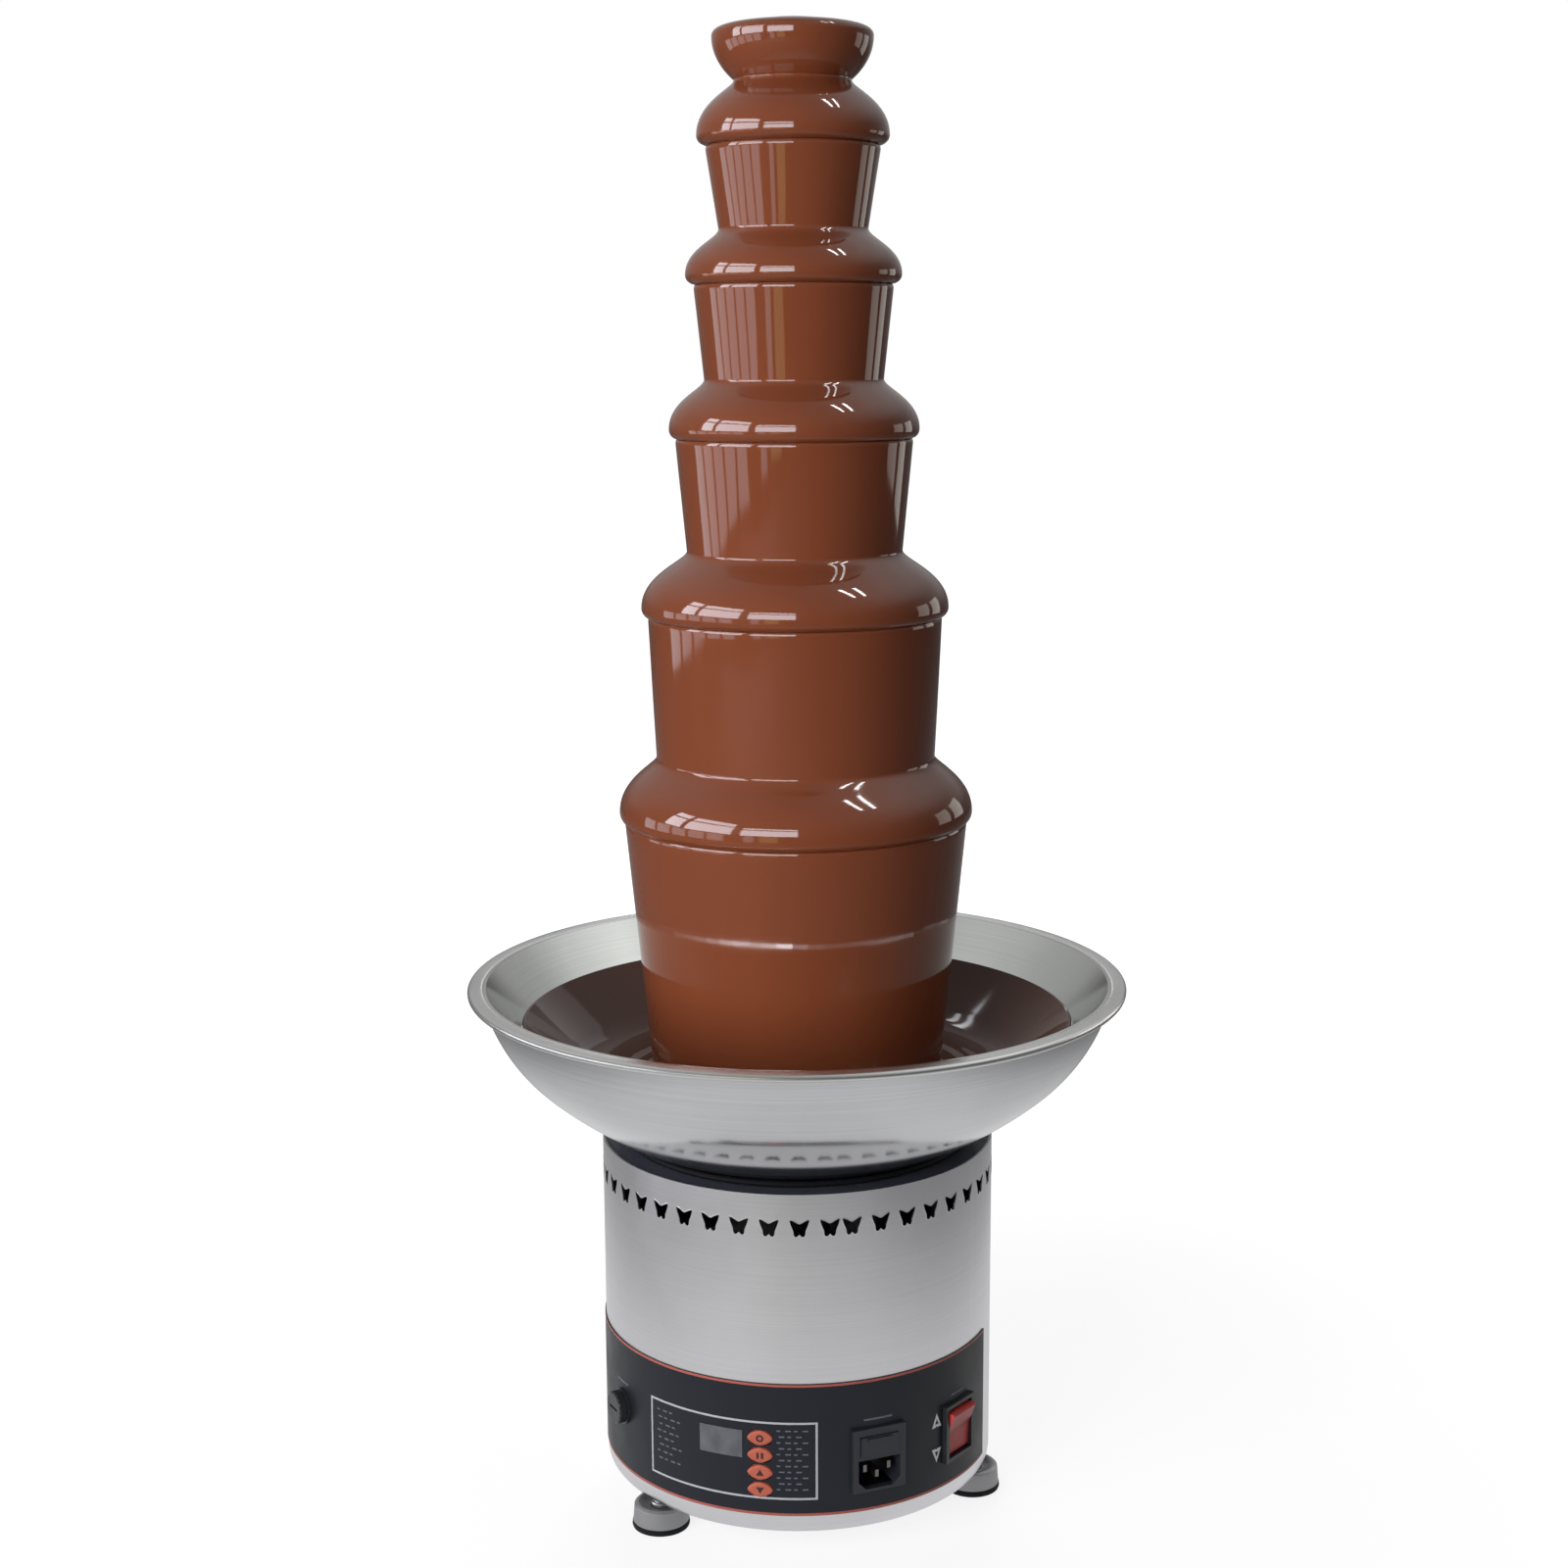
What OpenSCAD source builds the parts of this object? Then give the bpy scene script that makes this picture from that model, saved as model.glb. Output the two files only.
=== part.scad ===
// Tiered chocolate fountain: drum base with controls, heated bowl and auger-fed tower.
// Millimetres, +Z up, origin on the axis at floor level, -Y faces the mains inlet.
// A heading is an angle in degrees from -Y towards +X, seen from above.

/* [Feet] */
// Diameter of a levelling foot
foot_d = 32; // [24:0.5:34]
// Thickness of the rubber sole
sole_t = 3.2; // [2:0.1:6]
// Height of the metal cup above the sole
cup_h = 10.8; // [6:0.1:16]
// Free stud between the cup and the underside of the base
foot_standoff = 2; // [1.6:0.1:12]
// Diameter of the threaded stud
stud_d = 8; // [6:0.5:9]
// Distance of a foot's centre in from the drum's wall
foot_inset = 8.5; // [7.5:0.1:16]
// Angle between the two front feet
foot_spread = 126; // [110:1:140]
// Heading of the middle of the two front feet
foot_heading = -8.6; // [-15:0.1:0]

/* [Base drum] */
// Outside diameter of the drum
base_d = 220; // [216:0.5:228]
// Height of the drum
base_h = 191.5; // [180:0.5:220]
// Sheet thickness of the drum
shell_t = 1.2; // [0.8:0.1:1.6]
// Radius of the drum's lower edge
base_edge_r = 5; // [3:0.5:8]
// Width of the lower edge's turned-in flange
base_flange_w = 22; // [20:0.5:30]
// Thickness of the floor plate
floor_t = 1.5; // [1:0.1:3]
// Number of ventilation slots in the floor plate
floor_slots = 12; // [6:1:18]

/* [Butterfly vents] */
// Number of butterflies around the drum
vent_count = 43; // [30:1:44]
// Width of a butterfly
vent_w = 10.4; // [6:0.1:11]
// Height of a butterfly
vent_h = 9.4; // [6:0.1:14]
// Centre of the row below the drum's top edge
vent_drop = 18.5; // [14:0.5:30]
// Angle between the two butterflies beside the drum's seam
vent_seam_angle = 6.2; // [5.8:0.1:8.4]
// Heading of the seam
vent_seam_heading = -10.7; // [-20:0.1:20]

/* [Control band] */
// Thickness of the dark facing sheet
band_t = 0.6; // [0.3:0.1:1]
// Lower edge of the band above the drum's underside
band_low = 11; // [7:0.5:12]
// Height of the band
band_h = 75; // [73:0.5:90]
// Heading of the band's left end
band_left = -118; // [-130:1:-100]
// Heading of the band's right end
band_right = 47.3; // [44:0.1:60]

/* [Controller] */
// Width of the display window
display_w = 24.6; // [18:0.1:26]
// Height of the display window
display_h = 15.6; // [10:0.1:18]
// Heading of the display window
display_heading = -44.9; // [-48:0.1:-44]
// Centre of the display above the drum's underside
display_up = 50.8; // [46:0.1:54]
// Width of a push button
button_w = 12.9; // [8:0.1:13.5]
// Height of a push button
button_h = 8; // [5:0.1:8.5]
// Spacing of the push buttons
button_pitch = 9.85; // [9.6:0.05:10.5]
// Heading of the column of buttons
button_heading = -33.4; // [-34:0.1:-31]
// Centre of the top button above the drum's underside
button_up = 55.2; // [53:0.1:58]
// How far a button stands out of the band
button_proud = 1.1; // [0.9:0.1:2]
// How far a button can be pressed
button_travel = 0.8; // [0.4:0.1:1]

/* [Mains inlet] */
// Width of the inlet's flange
inlet_w = 31; // [29:0.1:34]
// Height of the inlet's flange
inlet_h = 36; // [35:0.1:40]
// Centre of the inlet above the drum's underside
inlet_up = 40.6; // [36:0.1:46]
// Width of the socket's mouth
socket_w = 24.5; // [24:0.1:25]
// Height of the socket's mouth
socket_h = 16.8; // [16:0.1:17.2]
// Depth of the socket
socket_depth = 16; // [14:0.5:20]
// Width of the fuse drawer's front
drawer_w = 22; // [16:0.1:24]
// Height of the fuse drawer's front
drawer_h = 11; // [8:0.1:12]

/* [Switch] */
// Width of the switch's frame
switch_w = 27; // [25:0.1:30]
// Height of the switch's frame
switch_h = 33; // [31:0.1:36]
// Heading of the switch
switch_heading = 29.6; // [27:0.1:32]
// Centre of the switch above the drum's underside
switch_up = 41.2; // [36:0.1:46]
// Width of the rocker
rocker_w = 21; // [16:0.1:22.5]
// Height of the rocker
rocker_h = 26.6; // [22:0.1:27.5]
// Tilt of the rocker each way from its middle position
rocker_tilt = 12; // [8:0.5:14]

/* [Fuse holder] */
// Diameter of the fuse holder's cap
fuse_cap_d = 18; // [14:0.5:19]
// Height of the cap's knurled grip
fuse_cap_h = 4.4; // [3:0.1:7]
// Heading of the fuse holder
fuse_heading = -84.6; // [-90:0.1:-80]
// Centre of the fuse holder above the drum's underside
fuse_up = 47.2; // [40:0.1:54]

/* [Bowl] */
// Diameter over the rolled rim
rim_d = 366.6; // [350:0.5:380]
// Width of the rim's flat flange
rim_w = 9.3; // [7:0.1:12]
// Thickness of the rim's rolled edge
rim_edge_t = 4; // [3:0.1:5]
// Height of the bowl from its underside to the top of its rim
bowl_h = 99.9; // [90:0.1:110]
// Diameter of the basin's flat floor
bowl_floor_d = 108; // [104:1:116]
// Angle at which the basin's wall leaves its floor
basin_angle = 30; // [24:1:34]
// Sheet thickness of the basin and of the jacket around it
bowl_t = 1.2; // [0.8:0.1:1.8]
// Depth of the bowl's floor below the drum's top edge
bowl_sink = 12; // [11:0.1:14]
// Width of the black cover between the drum's wall and the jacket
cover_w = 24; // [20:0.5:28]

/* [Drive] */
// Diameter of the motor
motor_d = 58; // [40:1:66]
// Length of the motor
motor_h = 72; // [50:1:76]
// Diameter of the gearbox
gearbox_d = 66; // [58:1:76]
// Height of the gearbox
gearbox_h = 30; // [22:1:34]
// Diameter of the drive shaft
drive_d = 10; // [8:0.5:11]
// Space between the bowl and the motor plate
plate_drop = 45; // [38:0.5:50]
// Diameter of the heater plate
heater_d = 100; // [96:1:104]

/* [Tower] */
// Outside diameter of the lift tube
tube_d = 48; // [46:0.5:50]
// Wall of the lift tube
tube_t = 1.5; // [1:0.1:2]
// Sheet thickness of the tiers
tier_t = 1.2; // [0.8:0.1:1.8]
// Diameter at which the fall from above lands, from the top tier down
neck_d = [62.4, 78.4, 95.4, 116.2, 152.6]; // [60:0.1:160]
// Height of each tier's top above the bowl's floor
top_h = [581.3, 503.8, 425.3, 333.3, 220.3]; // [200:0.1:600]
// Diameter over each tier's flowing lip
lip_d = [102.4, 115.4, 134.6, 167.2, 194.6]; // [95:0.1:200]
// Height of each tier's lip above the bowl's floor
lip_h = [555.3, 483.8, 402.8, 307.1, 194.8]; // [180:0.1:580]
// Diameter of each falling curtain just under its lip
fall_d = [91.6, 106, 127.6, 160, 188.6]; // [85:0.1:195]
// Rise of the crown's flow above the top tier
crown_h = 34; // [31:0.1:40]
// Diameter over the crown's flowing lip
crown_d = 85; // [80:0.5:90]

/* [Auger] */
// Diameter of the auger's shaft
auger_shaft_d = 14; // [13.5:0.1:16]
// Advance of the flight in one turn
auger_pitch = 48; // [36:1:64]
// Thickness of the flight
flight_t = 2.4; // [1.5:0.1:4]
// Gap between the flight and the lift tube
flight_gap = 0.8; // [0.4:0.1:2]

/* [Chocolate] */
// Thickness of the chocolate film on the steel
film = 2; // [1.2:0.1:3]
// Thickness of a falling curtain
curtain_t = 2.6; // [1.5:0.1:4]
// Drop of the flow where it turns under a lip
lip_drop = 8; // [5:0.5:10]
// Level of the pool above the bowl's floor
pool_h = 46.5; // [40:0.1:60]
// Height above the bowl's floor up to which chocolate coats the basin
coat_h = 77.8; // [65:0.1:85]
// Diameter of the lowest curtain where it meets the pool
pool_fall_d = 158; // [150:1:166]
// Diameter of the fold that runs round the lowest curtain
fold_d = 171; // [168:0.5:176]
// Height of the fold above the bowl's floor
fold_h = 136; // [120:0.5:150]

/* [Fits] */
// Clearance between separate pieces
gap = 0.3; // [0.2:0.05:0.4]
// Radial clearance of a running fit
run = 0.05; // [0.02:0.01:0.08]

/* [Hidden] */
$fn = 96;
far = 400;
cut_reach = 10;

// Heights of the stack, from the floor up
base_z = sole_t + cup_h + foot_standoff;
base_top = base_z + base_h;
bowl_z = base_top - bowl_sink;
floor_z = bowl_z + bowl_t;
cover_t = 1.2;
cover_drop = 1.3;
cover_top = base_top - cover_drop;
plate_t = 2.5;
plate_top = bowl_z - plate_drop;
gearbox_z = plate_top - plate_t - gearbox_h;

// Drum
base_r = base_d / 2;
shell_in_r = base_r - shell_t;
band_r = base_r + band_t;
floor_top = base_z + shell_t + floor_t;
floor_r = shell_in_r - base_edge_r + shell_t;
ledge_w = 6;
screw_r = 2;
screw_head_r = 3.6;
screw_head_h = 2;
screw_in = 7;
screw_circle_r = base_r - base_flange_w + screw_in;
floor_slot_w = 5;
floor_slot_l = 32;
floor_slot_in = 43;

// Vents: the seam angle is taken out of the even spacing
vent_pitch = (360 - vent_seam_angle) / (vent_count - 1);
vent_first = vent_seam_heading + vent_seam_angle / 2;

// Feet
foot_r = foot_d / 2;
stud_r = stud_d / 2;
foot_circle_r = base_r - foot_inset;
cup_dish = 2.6;
cup_seat = 4.4;
boss_room = 1.2;
boss_r = foot_inset - shell_t - boss_room;
boss_h = 6.5;
foot_headings = [
    foot_heading - foot_spread / 2,
    foot_heading + foot_spread / 2,
    foot_heading + 180
];

// A point on a round stretch of sheet, at the angle that the sheet climbs there
function arc_at(c, r, a) = c + r * [sin(a), -cos(a)];

// Basin: a flat floor, one wide curve and a flat flange with a rolled edge
rim_r = rim_d / 2;
rim_in_r = rim_r - rim_w;
rim_top = bowl_z + bowl_h;
rim_low = rim_top - bowl_t;
rim_edge_r = rim_edge_t / 2;
bowl_floor_r = bowl_floor_d / 2;
basin_run = [rim_in_r - bowl_floor_r, rim_low - bowl_z];
basin_end = 2 * atan2(basin_run[1], basin_run[0]) - basin_angle;
basin_r = norm(basin_run) / (2 * sin((basin_end - basin_angle) / 2));
basin_c = [bowl_floor_r - basin_r * sin(basin_angle), bowl_z + basin_r * cos(basin_angle)];
// The basin's section at a depth inside its outer surface, between two of its angles
function basin_side(inset, from = basin_angle, to = basin_end) = [for (i = [0:10])
    arc_at(basin_c, basin_r - inset, from + (to - from) * i / 10)];
// The angle of that section at a height
function basin_angle_at(inset, z) = acos((basin_c[1] - z) / (basin_r - inset));

// Jacket: two curves from the cover up to the underside of the rim, whose radii follow from both ends
jacket_low = 22;
jacket_mid = 41;
jacket_high = 78;
jacket_in = 2.1;
jacket_tuck = 8;
jacket_start = [base_r - cover_w, cover_top];
jacket_run = [rim_in_r + jacket_in, rim_low] - jacket_start;
lower_share = [sin(jacket_mid) - sin(jacket_low), cos(jacket_low) - cos(jacket_mid)];
upper_share = [sin(jacket_high) - sin(jacket_mid), cos(jacket_mid) - cos(jacket_high)];
jacket_r1 = cross(jacket_run, upper_share) / cross(lower_share, upper_share);
jacket_r2 = cross(lower_share, jacket_run) / cross(lower_share, upper_share);
jacket_c1 = jacket_start + jacket_r1 * [-sin(jacket_low), cos(jacket_low)];
jacket_c2 = arc_at(jacket_c1, jacket_r1 - jacket_r2, jacket_mid);
jacket_foot = asin(sin(jacket_low) - jacket_tuck / jacket_r1);
// The jacket's section at a depth inside its outer surface, up to the rim's underside
function jacket_side(inset) = concat(
    [for (i = [0:8]) arc_at(jacket_c1, jacket_r1 - inset, jacket_foot + (jacket_mid - jacket_foot) * i / 8)],
    [for (i = [1:5]) arc_at(jacket_c2, jacket_r2 - inset, jacket_mid + (jacket_high - jacket_mid) * i / 6)],
    [[rim_in_r + jacket_in - inset / sin(jacket_high), rim_low]]
);
// Height of the jacket's outer surface at a radius near the cover
function jacket_z_at(r) = let(a = asin(sin(jacket_low) + (r - jacket_start[0]) / jacket_r1))
    cover_top + jacket_r1 * (cos(jacket_low) - cos(a));

seal_r = drive_d / 2 + 5;
stud_circle_r = 41;
bolt_r = 2.5;
heater_t = 6;
heater_hole_r = seal_r + 4;
element_r = 3;
element_circle_r = 31;
pin_r = 2.5;
pin_h = 8;
pin_circle_r = tube_d / 2 + 5.5;
pool_z = floor_z + pool_h;
pool_room = 3;
coat_z = floor_z + coat_h;
coat_t = 1.5;
fold_r = fold_d / 2;
fold_z = floor_z + fold_h;
fold_step = 1.6;

// Cover and gasket
cover_hole_r = jacket_start[0] + 1;
gasket_in = 8;
gasket_r = cover_hole_r + gasket_in;
gasket_fill = 0.44;
gasket_bead = gasket_fill * (jacket_z_at(gasket_r) - cover_top);
pillar_r = 4;
pillar_circle_r = shell_in_r - ledge_w - pillar_r - 2;

// Tower
tube_r = tube_d / 2;
tube_in_r = tube_r - tube_t;
hub_in_r = tube_r + run;
hub_r = hub_in_r + 2;
hub_h = 10;
stop_h = 3;
stop_w = 3;
collar_r = pin_circle_r + pin_r + 3;
collar_t = 2;
dome_power = 1.22;
crown_base_z = floor_z + top_h[0] + 5;
crown_mound = 10;
crown_power = 1.6;
crown_top = floor_z + top_h[0] + crown_h;
crown_lip_z = crown_top - crown_mound;
crown_rim_z = crown_lip_z - film;
crown_rim_r = crown_d / 2 - film - 0.7;
tiers = len(lip_d);

// Auger
auger_z = floor_z + 7;
auger_top = crown_base_z - 6;
auger_r = auger_shaft_d / 2;
flight_r = tube_in_r - flight_gap;
flight_foot = 4;
flight_turn_steps = 16;
flight_weld = 0.15;
socket_bore_h = 24;
drive_r = drive_d / 2;
drive_top = auger_z + socket_bore_h - 1;
drive_pin_r = 1.5;
drive_pin_z = auger_z + 9;

// Controls
inlet_lip = 1.9;
inlet_body_w = socket_w + 2.4;
inlet_body_h = inlet_h - 5;
inlet_body_depth = socket_depth + 8;
inlet_front = band_t + inlet_lip;
socket_edge = 1.6;
socket_y = socket_edge + (socket_h - inlet_h) / 2;
drawer_y = socket_y + socket_h / 2 + 2.2 + drawer_h / 2;
drawer_depth = 20;
drawer_proud = 0.8;
switch_lip = 2.2;
rocker_pivot = -2;
rocker_depth = 7;
rocker_edge = 4.6;
rocker_pin_r = 1.5;
switch_body_w = switch_w - 3;
switch_body_h = switch_h - 2.4;
switch_body_depth = 22;
fuse_tube_r = 7.2;
fuse_bore_r = 4.6;
fuse_stem_r = 4;
fuse_flange_r = fuse_cap_d / 2 + 1;
fuse_flange_t = 1.4;
fuse_depth = 32;
board_w = 58;
board_h = 46;
board_t = 1.6;
board_heading = (display_heading + button_heading) / 2;
board_r = shell_in_r - 9;
board_up = display_up - 7;
button_flange = 1;
button_flange_t = 1.2;
tact_gap = button_travel + gap;

// Places a child around the axis at a heading
module turned(heading) {
    rotate([0, 0, heading]) children();
}

// Places a child on the drum's wall: its x runs right, its y up and its z straight out
module on_wall(heading, up) {
    turned(heading) translate([0, -base_r, base_z + up]) rotate([90, 0, 0]) children();
}

// A child at each of three even places around the axis, on a circle
module three_round(r, first) {
    for (i = [0:2]) turned(first + 120 * i) translate([0, -r, 0]) children();
}

// A flat ring standing on a height
module ring(r_out, r_in, z, h) {
    translate([0, 0, z]) difference() {
        cylinder(r = r_out, h = h);
        translate([0, 0, -1]) cylinder(r = r_in, h = h + 2);
    }
}

// A plain block centred across, from one depth to another
module block(w, h, z0, z1) {
    translate([-w / 2, -h / 2, z0]) cube([w, h, z1 - z0]);
}

// The outline of a push button: a short bar with round ends
module stadium(w, h) {
    square([w - h, h], center = true);
    for (side = [-1, 1]) translate([side * (w - h) / 2, 0]) circle(d = h);
}

// One butterfly: spread upper wings, short lower wings, a notch above and below
module butterfly() {
    wing = [[0, 0.26], [0.1, 0.3], [0.28, 0.42], [0.46, 0.5], [0.5, 0.44], [0.44, 0.2],
        [0.38, 0.03], [0.31, -0.16], [0.29, -0.38], [0.22, -0.5], [0.1, -0.47], [0, -0.34]];
    right = [for (p = wing) [p[0] * vent_w, p[1] * vent_h]];
    left = [for (i = [len(wing) - 2:-1:1]) [-right[i][0], right[i][1]]];
    polygon(concat(right, left));
}

// A curved sheet of the drum's wall between two headings
module wall_sheet(r_in, r_out, z0, z1, from, to) {
    rotate([0, 0, from - 90]) rotate_extrude(angle = to - from)
        translate([r_in, z0]) square([r_out - r_in, z1 - z0]);
}

// Everything that the drum and its facing sheet are pierced for at the front
module wall_cutouts() {
    on_wall(0, inlet_up)
        block(inlet_body_w + 2 * gap, inlet_body_h + 2 * gap, -cut_reach, cut_reach);
    on_wall(switch_heading, switch_up)
        block(switch_body_w + 2 * gap, switch_body_h + 2 * gap, -cut_reach, cut_reach);
    on_wall(fuse_heading, fuse_up)
        translate([0, 0, -cut_reach]) cylinder(r = fuse_tube_r + gap, h = 2 * cut_reach);
    on_wall(display_heading, display_up)
        block(display_w + 2 * gap, display_h + 2 * gap, -cut_reach, cut_reach);
    for (i = [0:3]) on_wall(button_heading, button_up - i * button_pitch)
        translate([0, 0, -cut_reach]) linear_extrude(2 * cut_reach)
            stadium(button_w + 2 * gap, button_h + 2 * gap);
}

// The space outside the facing sheet, which frames sit against
module outside_band() {
    difference() {
        cylinder(r = far, h = base_top);
        translate([0, 0, -1]) cylinder(r = band_r + run, h = base_top + 2);
    }
}

module base_shell() {
    edge = [for (i = [0:6]) let(a = -90 + 90 * i / 6)
        [base_r - base_edge_r + base_edge_r * cos(a), base_z + base_edge_r + base_edge_r * sin(a)]];
    in_r = base_edge_r - shell_t;
    edge_in = [for (i = [6:-1:0]) let(a = -90 + 90 * i / 6)
        [base_r - base_edge_r + in_r * cos(a), base_z + base_edge_r + in_r * sin(a)]];
    section = concat(
        [[base_r - base_flange_w, base_z]], edge, [[base_r, base_top], [shell_in_r, base_top]],
        edge_in, [[base_r - base_flange_w, base_z + shell_t]]);
    ledge_z = cover_top - cover_t - shell_t;
    color([0.75, 0.75, 0.77]) difference() {
        union() {
            rotate_extrude() polygon(section);
            ring(shell_in_r + shell_t / 2, shell_in_r - ledge_w, ledge_z, shell_t);
        }
        for (i = [0:vent_count - 1])
            on_wall(vent_first + i * vent_pitch, base_h - vent_drop)
                translate([0, 0, -shell_t - 2]) linear_extrude(shell_t + 4) butterfly();
        wall_cutouts();
        for (h = foot_headings) turned(h) translate([0, -foot_circle_r, base_z - 1])
            cylinder(r = stud_r + 2 * gap, h = shell_t + 2);
        for (i = [0:5]) turned(60 * i + 15) translate([0, -screw_circle_r, base_z - 1])
            cylinder(r = screw_r + gap, h = shell_t + 2);
    }
}

module base_plate() {
    color([0.6, 0.6, 0.62]) difference() {
        translate([0, 0, base_z + shell_t]) cylinder(r = floor_r - gap, h = floor_t);
        for (h = foot_headings) turned(h) translate([0, -foot_circle_r, base_z])
            cylinder(r = stud_r + 2 * gap, h = far);
        for (i = [0:5]) turned(60 * i + 15) translate([0, -screw_circle_r, base_z])
            cylinder(r = screw_r + gap, h = far);
        for (i = [0:floor_slots - 1]) turned(i * 360 / floor_slots)
            translate([-floor_slot_w / 2, -floor_slot_in - floor_slot_l, base_z])
                cube([floor_slot_w, floor_slot_l, far]);
    }
}

module base_screws() {
    color([0.7, 0.7, 0.72]) for (i = [0:5]) turned(60 * i + 15) translate([0, -screw_circle_r, 0]) {
        translate([0, 0, base_z - screw_head_h]) cylinder(r = screw_head_r, h = screw_head_h);
        translate([0, 0, base_z - 0.5]) cylinder(r = screw_r, h = shell_t + floor_t + 5.5);
    }
}

module foot_nuts() {
    color([0.65, 0.65, 0.66]) for (h = foot_headings) turned(h)
        translate([0, -foot_circle_r, 0]) ring(boss_r, stud_r + run, floor_top, boss_h);
}

// A foot's rubber sole, with a chamfered ground edge
module foot_sole(i) {
    edge = 0.6;
    color([0.06, 0.06, 0.06]) turned(foot_headings[i]) translate([0, -foot_circle_r, 0]) {
        cylinder(r1 = foot_r - edge, r2 = foot_r, h = edge);
        translate([0, 0, edge]) cylinder(r = foot_r, h = sole_t - edge);
    }
}

// A foot's turned cup: straight skirt, sloped shoulder and a dished top round the stud
module foot_cup(i) {
    side = foot_r - 0.5;
    seat = stud_r + 1.4;
    dish = cup_h - cup_dish;
    bed = cup_h - cup_seat;
    section = [[0, 0], [side, 0], [side - 0.8, cup_h - 1.2], [side - 2, cup_h], [side - 3.2, cup_h],
        [seat + 2, dish], [seat + gap, dish], [seat + gap, bed], [0, bed]];
    color([0.5, 0.5, 0.5]) turned(foot_headings[i])
        translate([0, -foot_circle_r, sole_t]) rotate_extrude() polygon(section);
}

// A foot's stud: a round swivel seat in the cup, a collar and the threaded length
module foot_stud(i) {
    seat = stud_r + 1.4;
    foot_top = sole_t + cup_h;
    color([0.78, 0.78, 0.8]) turned(foot_headings[i]) translate([0, -foot_circle_r, 0]) {
        translate([0, 0, foot_top - cup_seat + gap]) cylinder(r = seat, h = cup_seat - gap);
        translate([0, 0, foot_top - 1])
            cylinder(r = stud_r, h = foot_standoff + 1 + shell_t + floor_t + boss_h);
    }
}

module control_band() {
    color([0.22, 0.23, 0.26]) difference() {
        wall_sheet(base_r + run, band_r, base_z + band_low, base_z + band_low + band_h,
            band_left, band_right);
        wall_cutouts();
    }
}

module display_window() {
    half = asin(display_w / 2 / base_r);
    z = base_z + display_up;
    color([0.35, 0.36, 0.38]) wall_sheet(shell_in_r, band_r + gap, z - display_h / 2, z + display_h / 2,
        display_heading - half, display_heading + half);
}

// Circuit board behind the controls, with its display block, key switches and four posts to the wall
module controller_board() {
    post_r = 2.2;
    post_in = 4;
    tact_w = 6;
    tact_front = shell_in_r - 0.6 - gap - button_flange_t - 1 - tact_gap;
    color([0.1, 0.35, 0.2]) {
        on_wall(board_heading, board_up)
            block(board_w, board_h, board_r - base_r - board_t, board_r - base_r);
        intersection() {
            on_wall(board_heading, board_up) for (x = [-1, 1]) for (y = [-1, 1])
                translate([x * (board_w / 2 - post_in), y * (board_h / 2 - post_in), board_r - base_r - 0.5])
                    cylinder(r = post_r, h = 12);
            cylinder(r = shell_in_r - run, h = base_top);
        }
        intersection() {
            on_wall(display_heading, display_up)
                block(display_w - 2, display_h - 2, board_r - base_r - 3, -shell_t - 2.2);
            on_wall(board_heading, board_up) block(far, far, board_r - base_r - 0.5, far);
        }
        for (i = [0:3]) intersection() {
            on_wall(button_heading, button_up - i * button_pitch)
                block(tact_w, tact_w, board_r - base_r - 3, tact_front - base_r);
            on_wall(board_heading, board_up) block(far, far, board_r - base_r - 0.5, far);
        }
    }
}

// A push button: its cap through the wall and a wider flange that keeps it in
module push_button(i) {
    back = -shell_t - 0.6 - gap;
    color([0.88, 0.45, 0.33]) on_wall(button_heading, button_up - i * button_pitch) {
        translate([0, 0, back - 0.1]) linear_extrude(band_t + button_proud - 0.3 - back + 0.1)
            stadium(button_w, button_h);
        translate([0, 0, band_t]) linear_extrude(button_proud) stadium(button_w - 1.2, button_h - 1.2);
        translate([0, 0, back - button_flange_t]) linear_extrude(button_flange_t)
            stadium(button_w + 2 * button_flange, button_h);
        translate([0, 0, back - button_flange_t - 1]) linear_extrude(1.5) circle(r = 2);
    }
}

// The socket's outline: a rectangle with its two lower corners cut
module socket_outline() {
    cut = 4.4;
    w = socket_w / 2;
    h = socket_h / 2;
    polygon([[-w, h], [-w, cut - h], [cut - w, -h], [w - cut, -h], [w, cut - h], [w, h]]);
}

module inlet_blades() {
    for (p = [[-7, 2], [7, 2], [0, -2]]) translate([p[0], socket_y + p[1], 0]) children();
}

module inlet_housing() {
    color([0.08, 0.08, 0.09]) difference() {
        union() {
            intersection() {
                on_wall(0, inlet_up) block(inlet_w, inlet_h, -3, inlet_front);
                outside_band();
            }
            on_wall(0, inlet_up)
                block(inlet_body_w, inlet_body_h, inlet_front - inlet_body_depth, inlet_front - 0.5);
        }
        on_wall(0, inlet_up) {
            translate([0, socket_y, inlet_front - socket_depth])
                linear_extrude(socket_depth + 1) socket_outline();
            translate([0, drawer_y, 0])
                block(drawer_w + 2 * gap, drawer_h + 2 * gap,
                    inlet_front - drawer_depth - gap, inlet_front + 1);
            inlet_blades() block(2 + 2 * run, 4 + 2 * run, -far / 4, 1);
        }
    }
}

module inlet_pins() {
    color([0.8, 0.8, 0.78]) on_wall(0, inlet_up) inlet_blades()
        block(2, 4, inlet_front - inlet_body_depth - 8, inlet_front - 3.5);
}

module fuse_drawer() {
    grip_h = 1.6;
    color([0.1, 0.1, 0.11]) on_wall(0, inlet_up) translate([0, drawer_y, 0]) {
        difference() {
            block(drawer_w, drawer_h, inlet_front - drawer_depth, inlet_front + drawer_proud);
            block(drawer_w - 4, drawer_h - 4, inlet_front - drawer_depth - 1, inlet_front - 2);
        }
        translate([0, drawer_h / 2 - grip_h, 0])
            block(drawer_w - 8, grip_h, inlet_front, inlet_front + drawer_proud + 1);
    }
}

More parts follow.
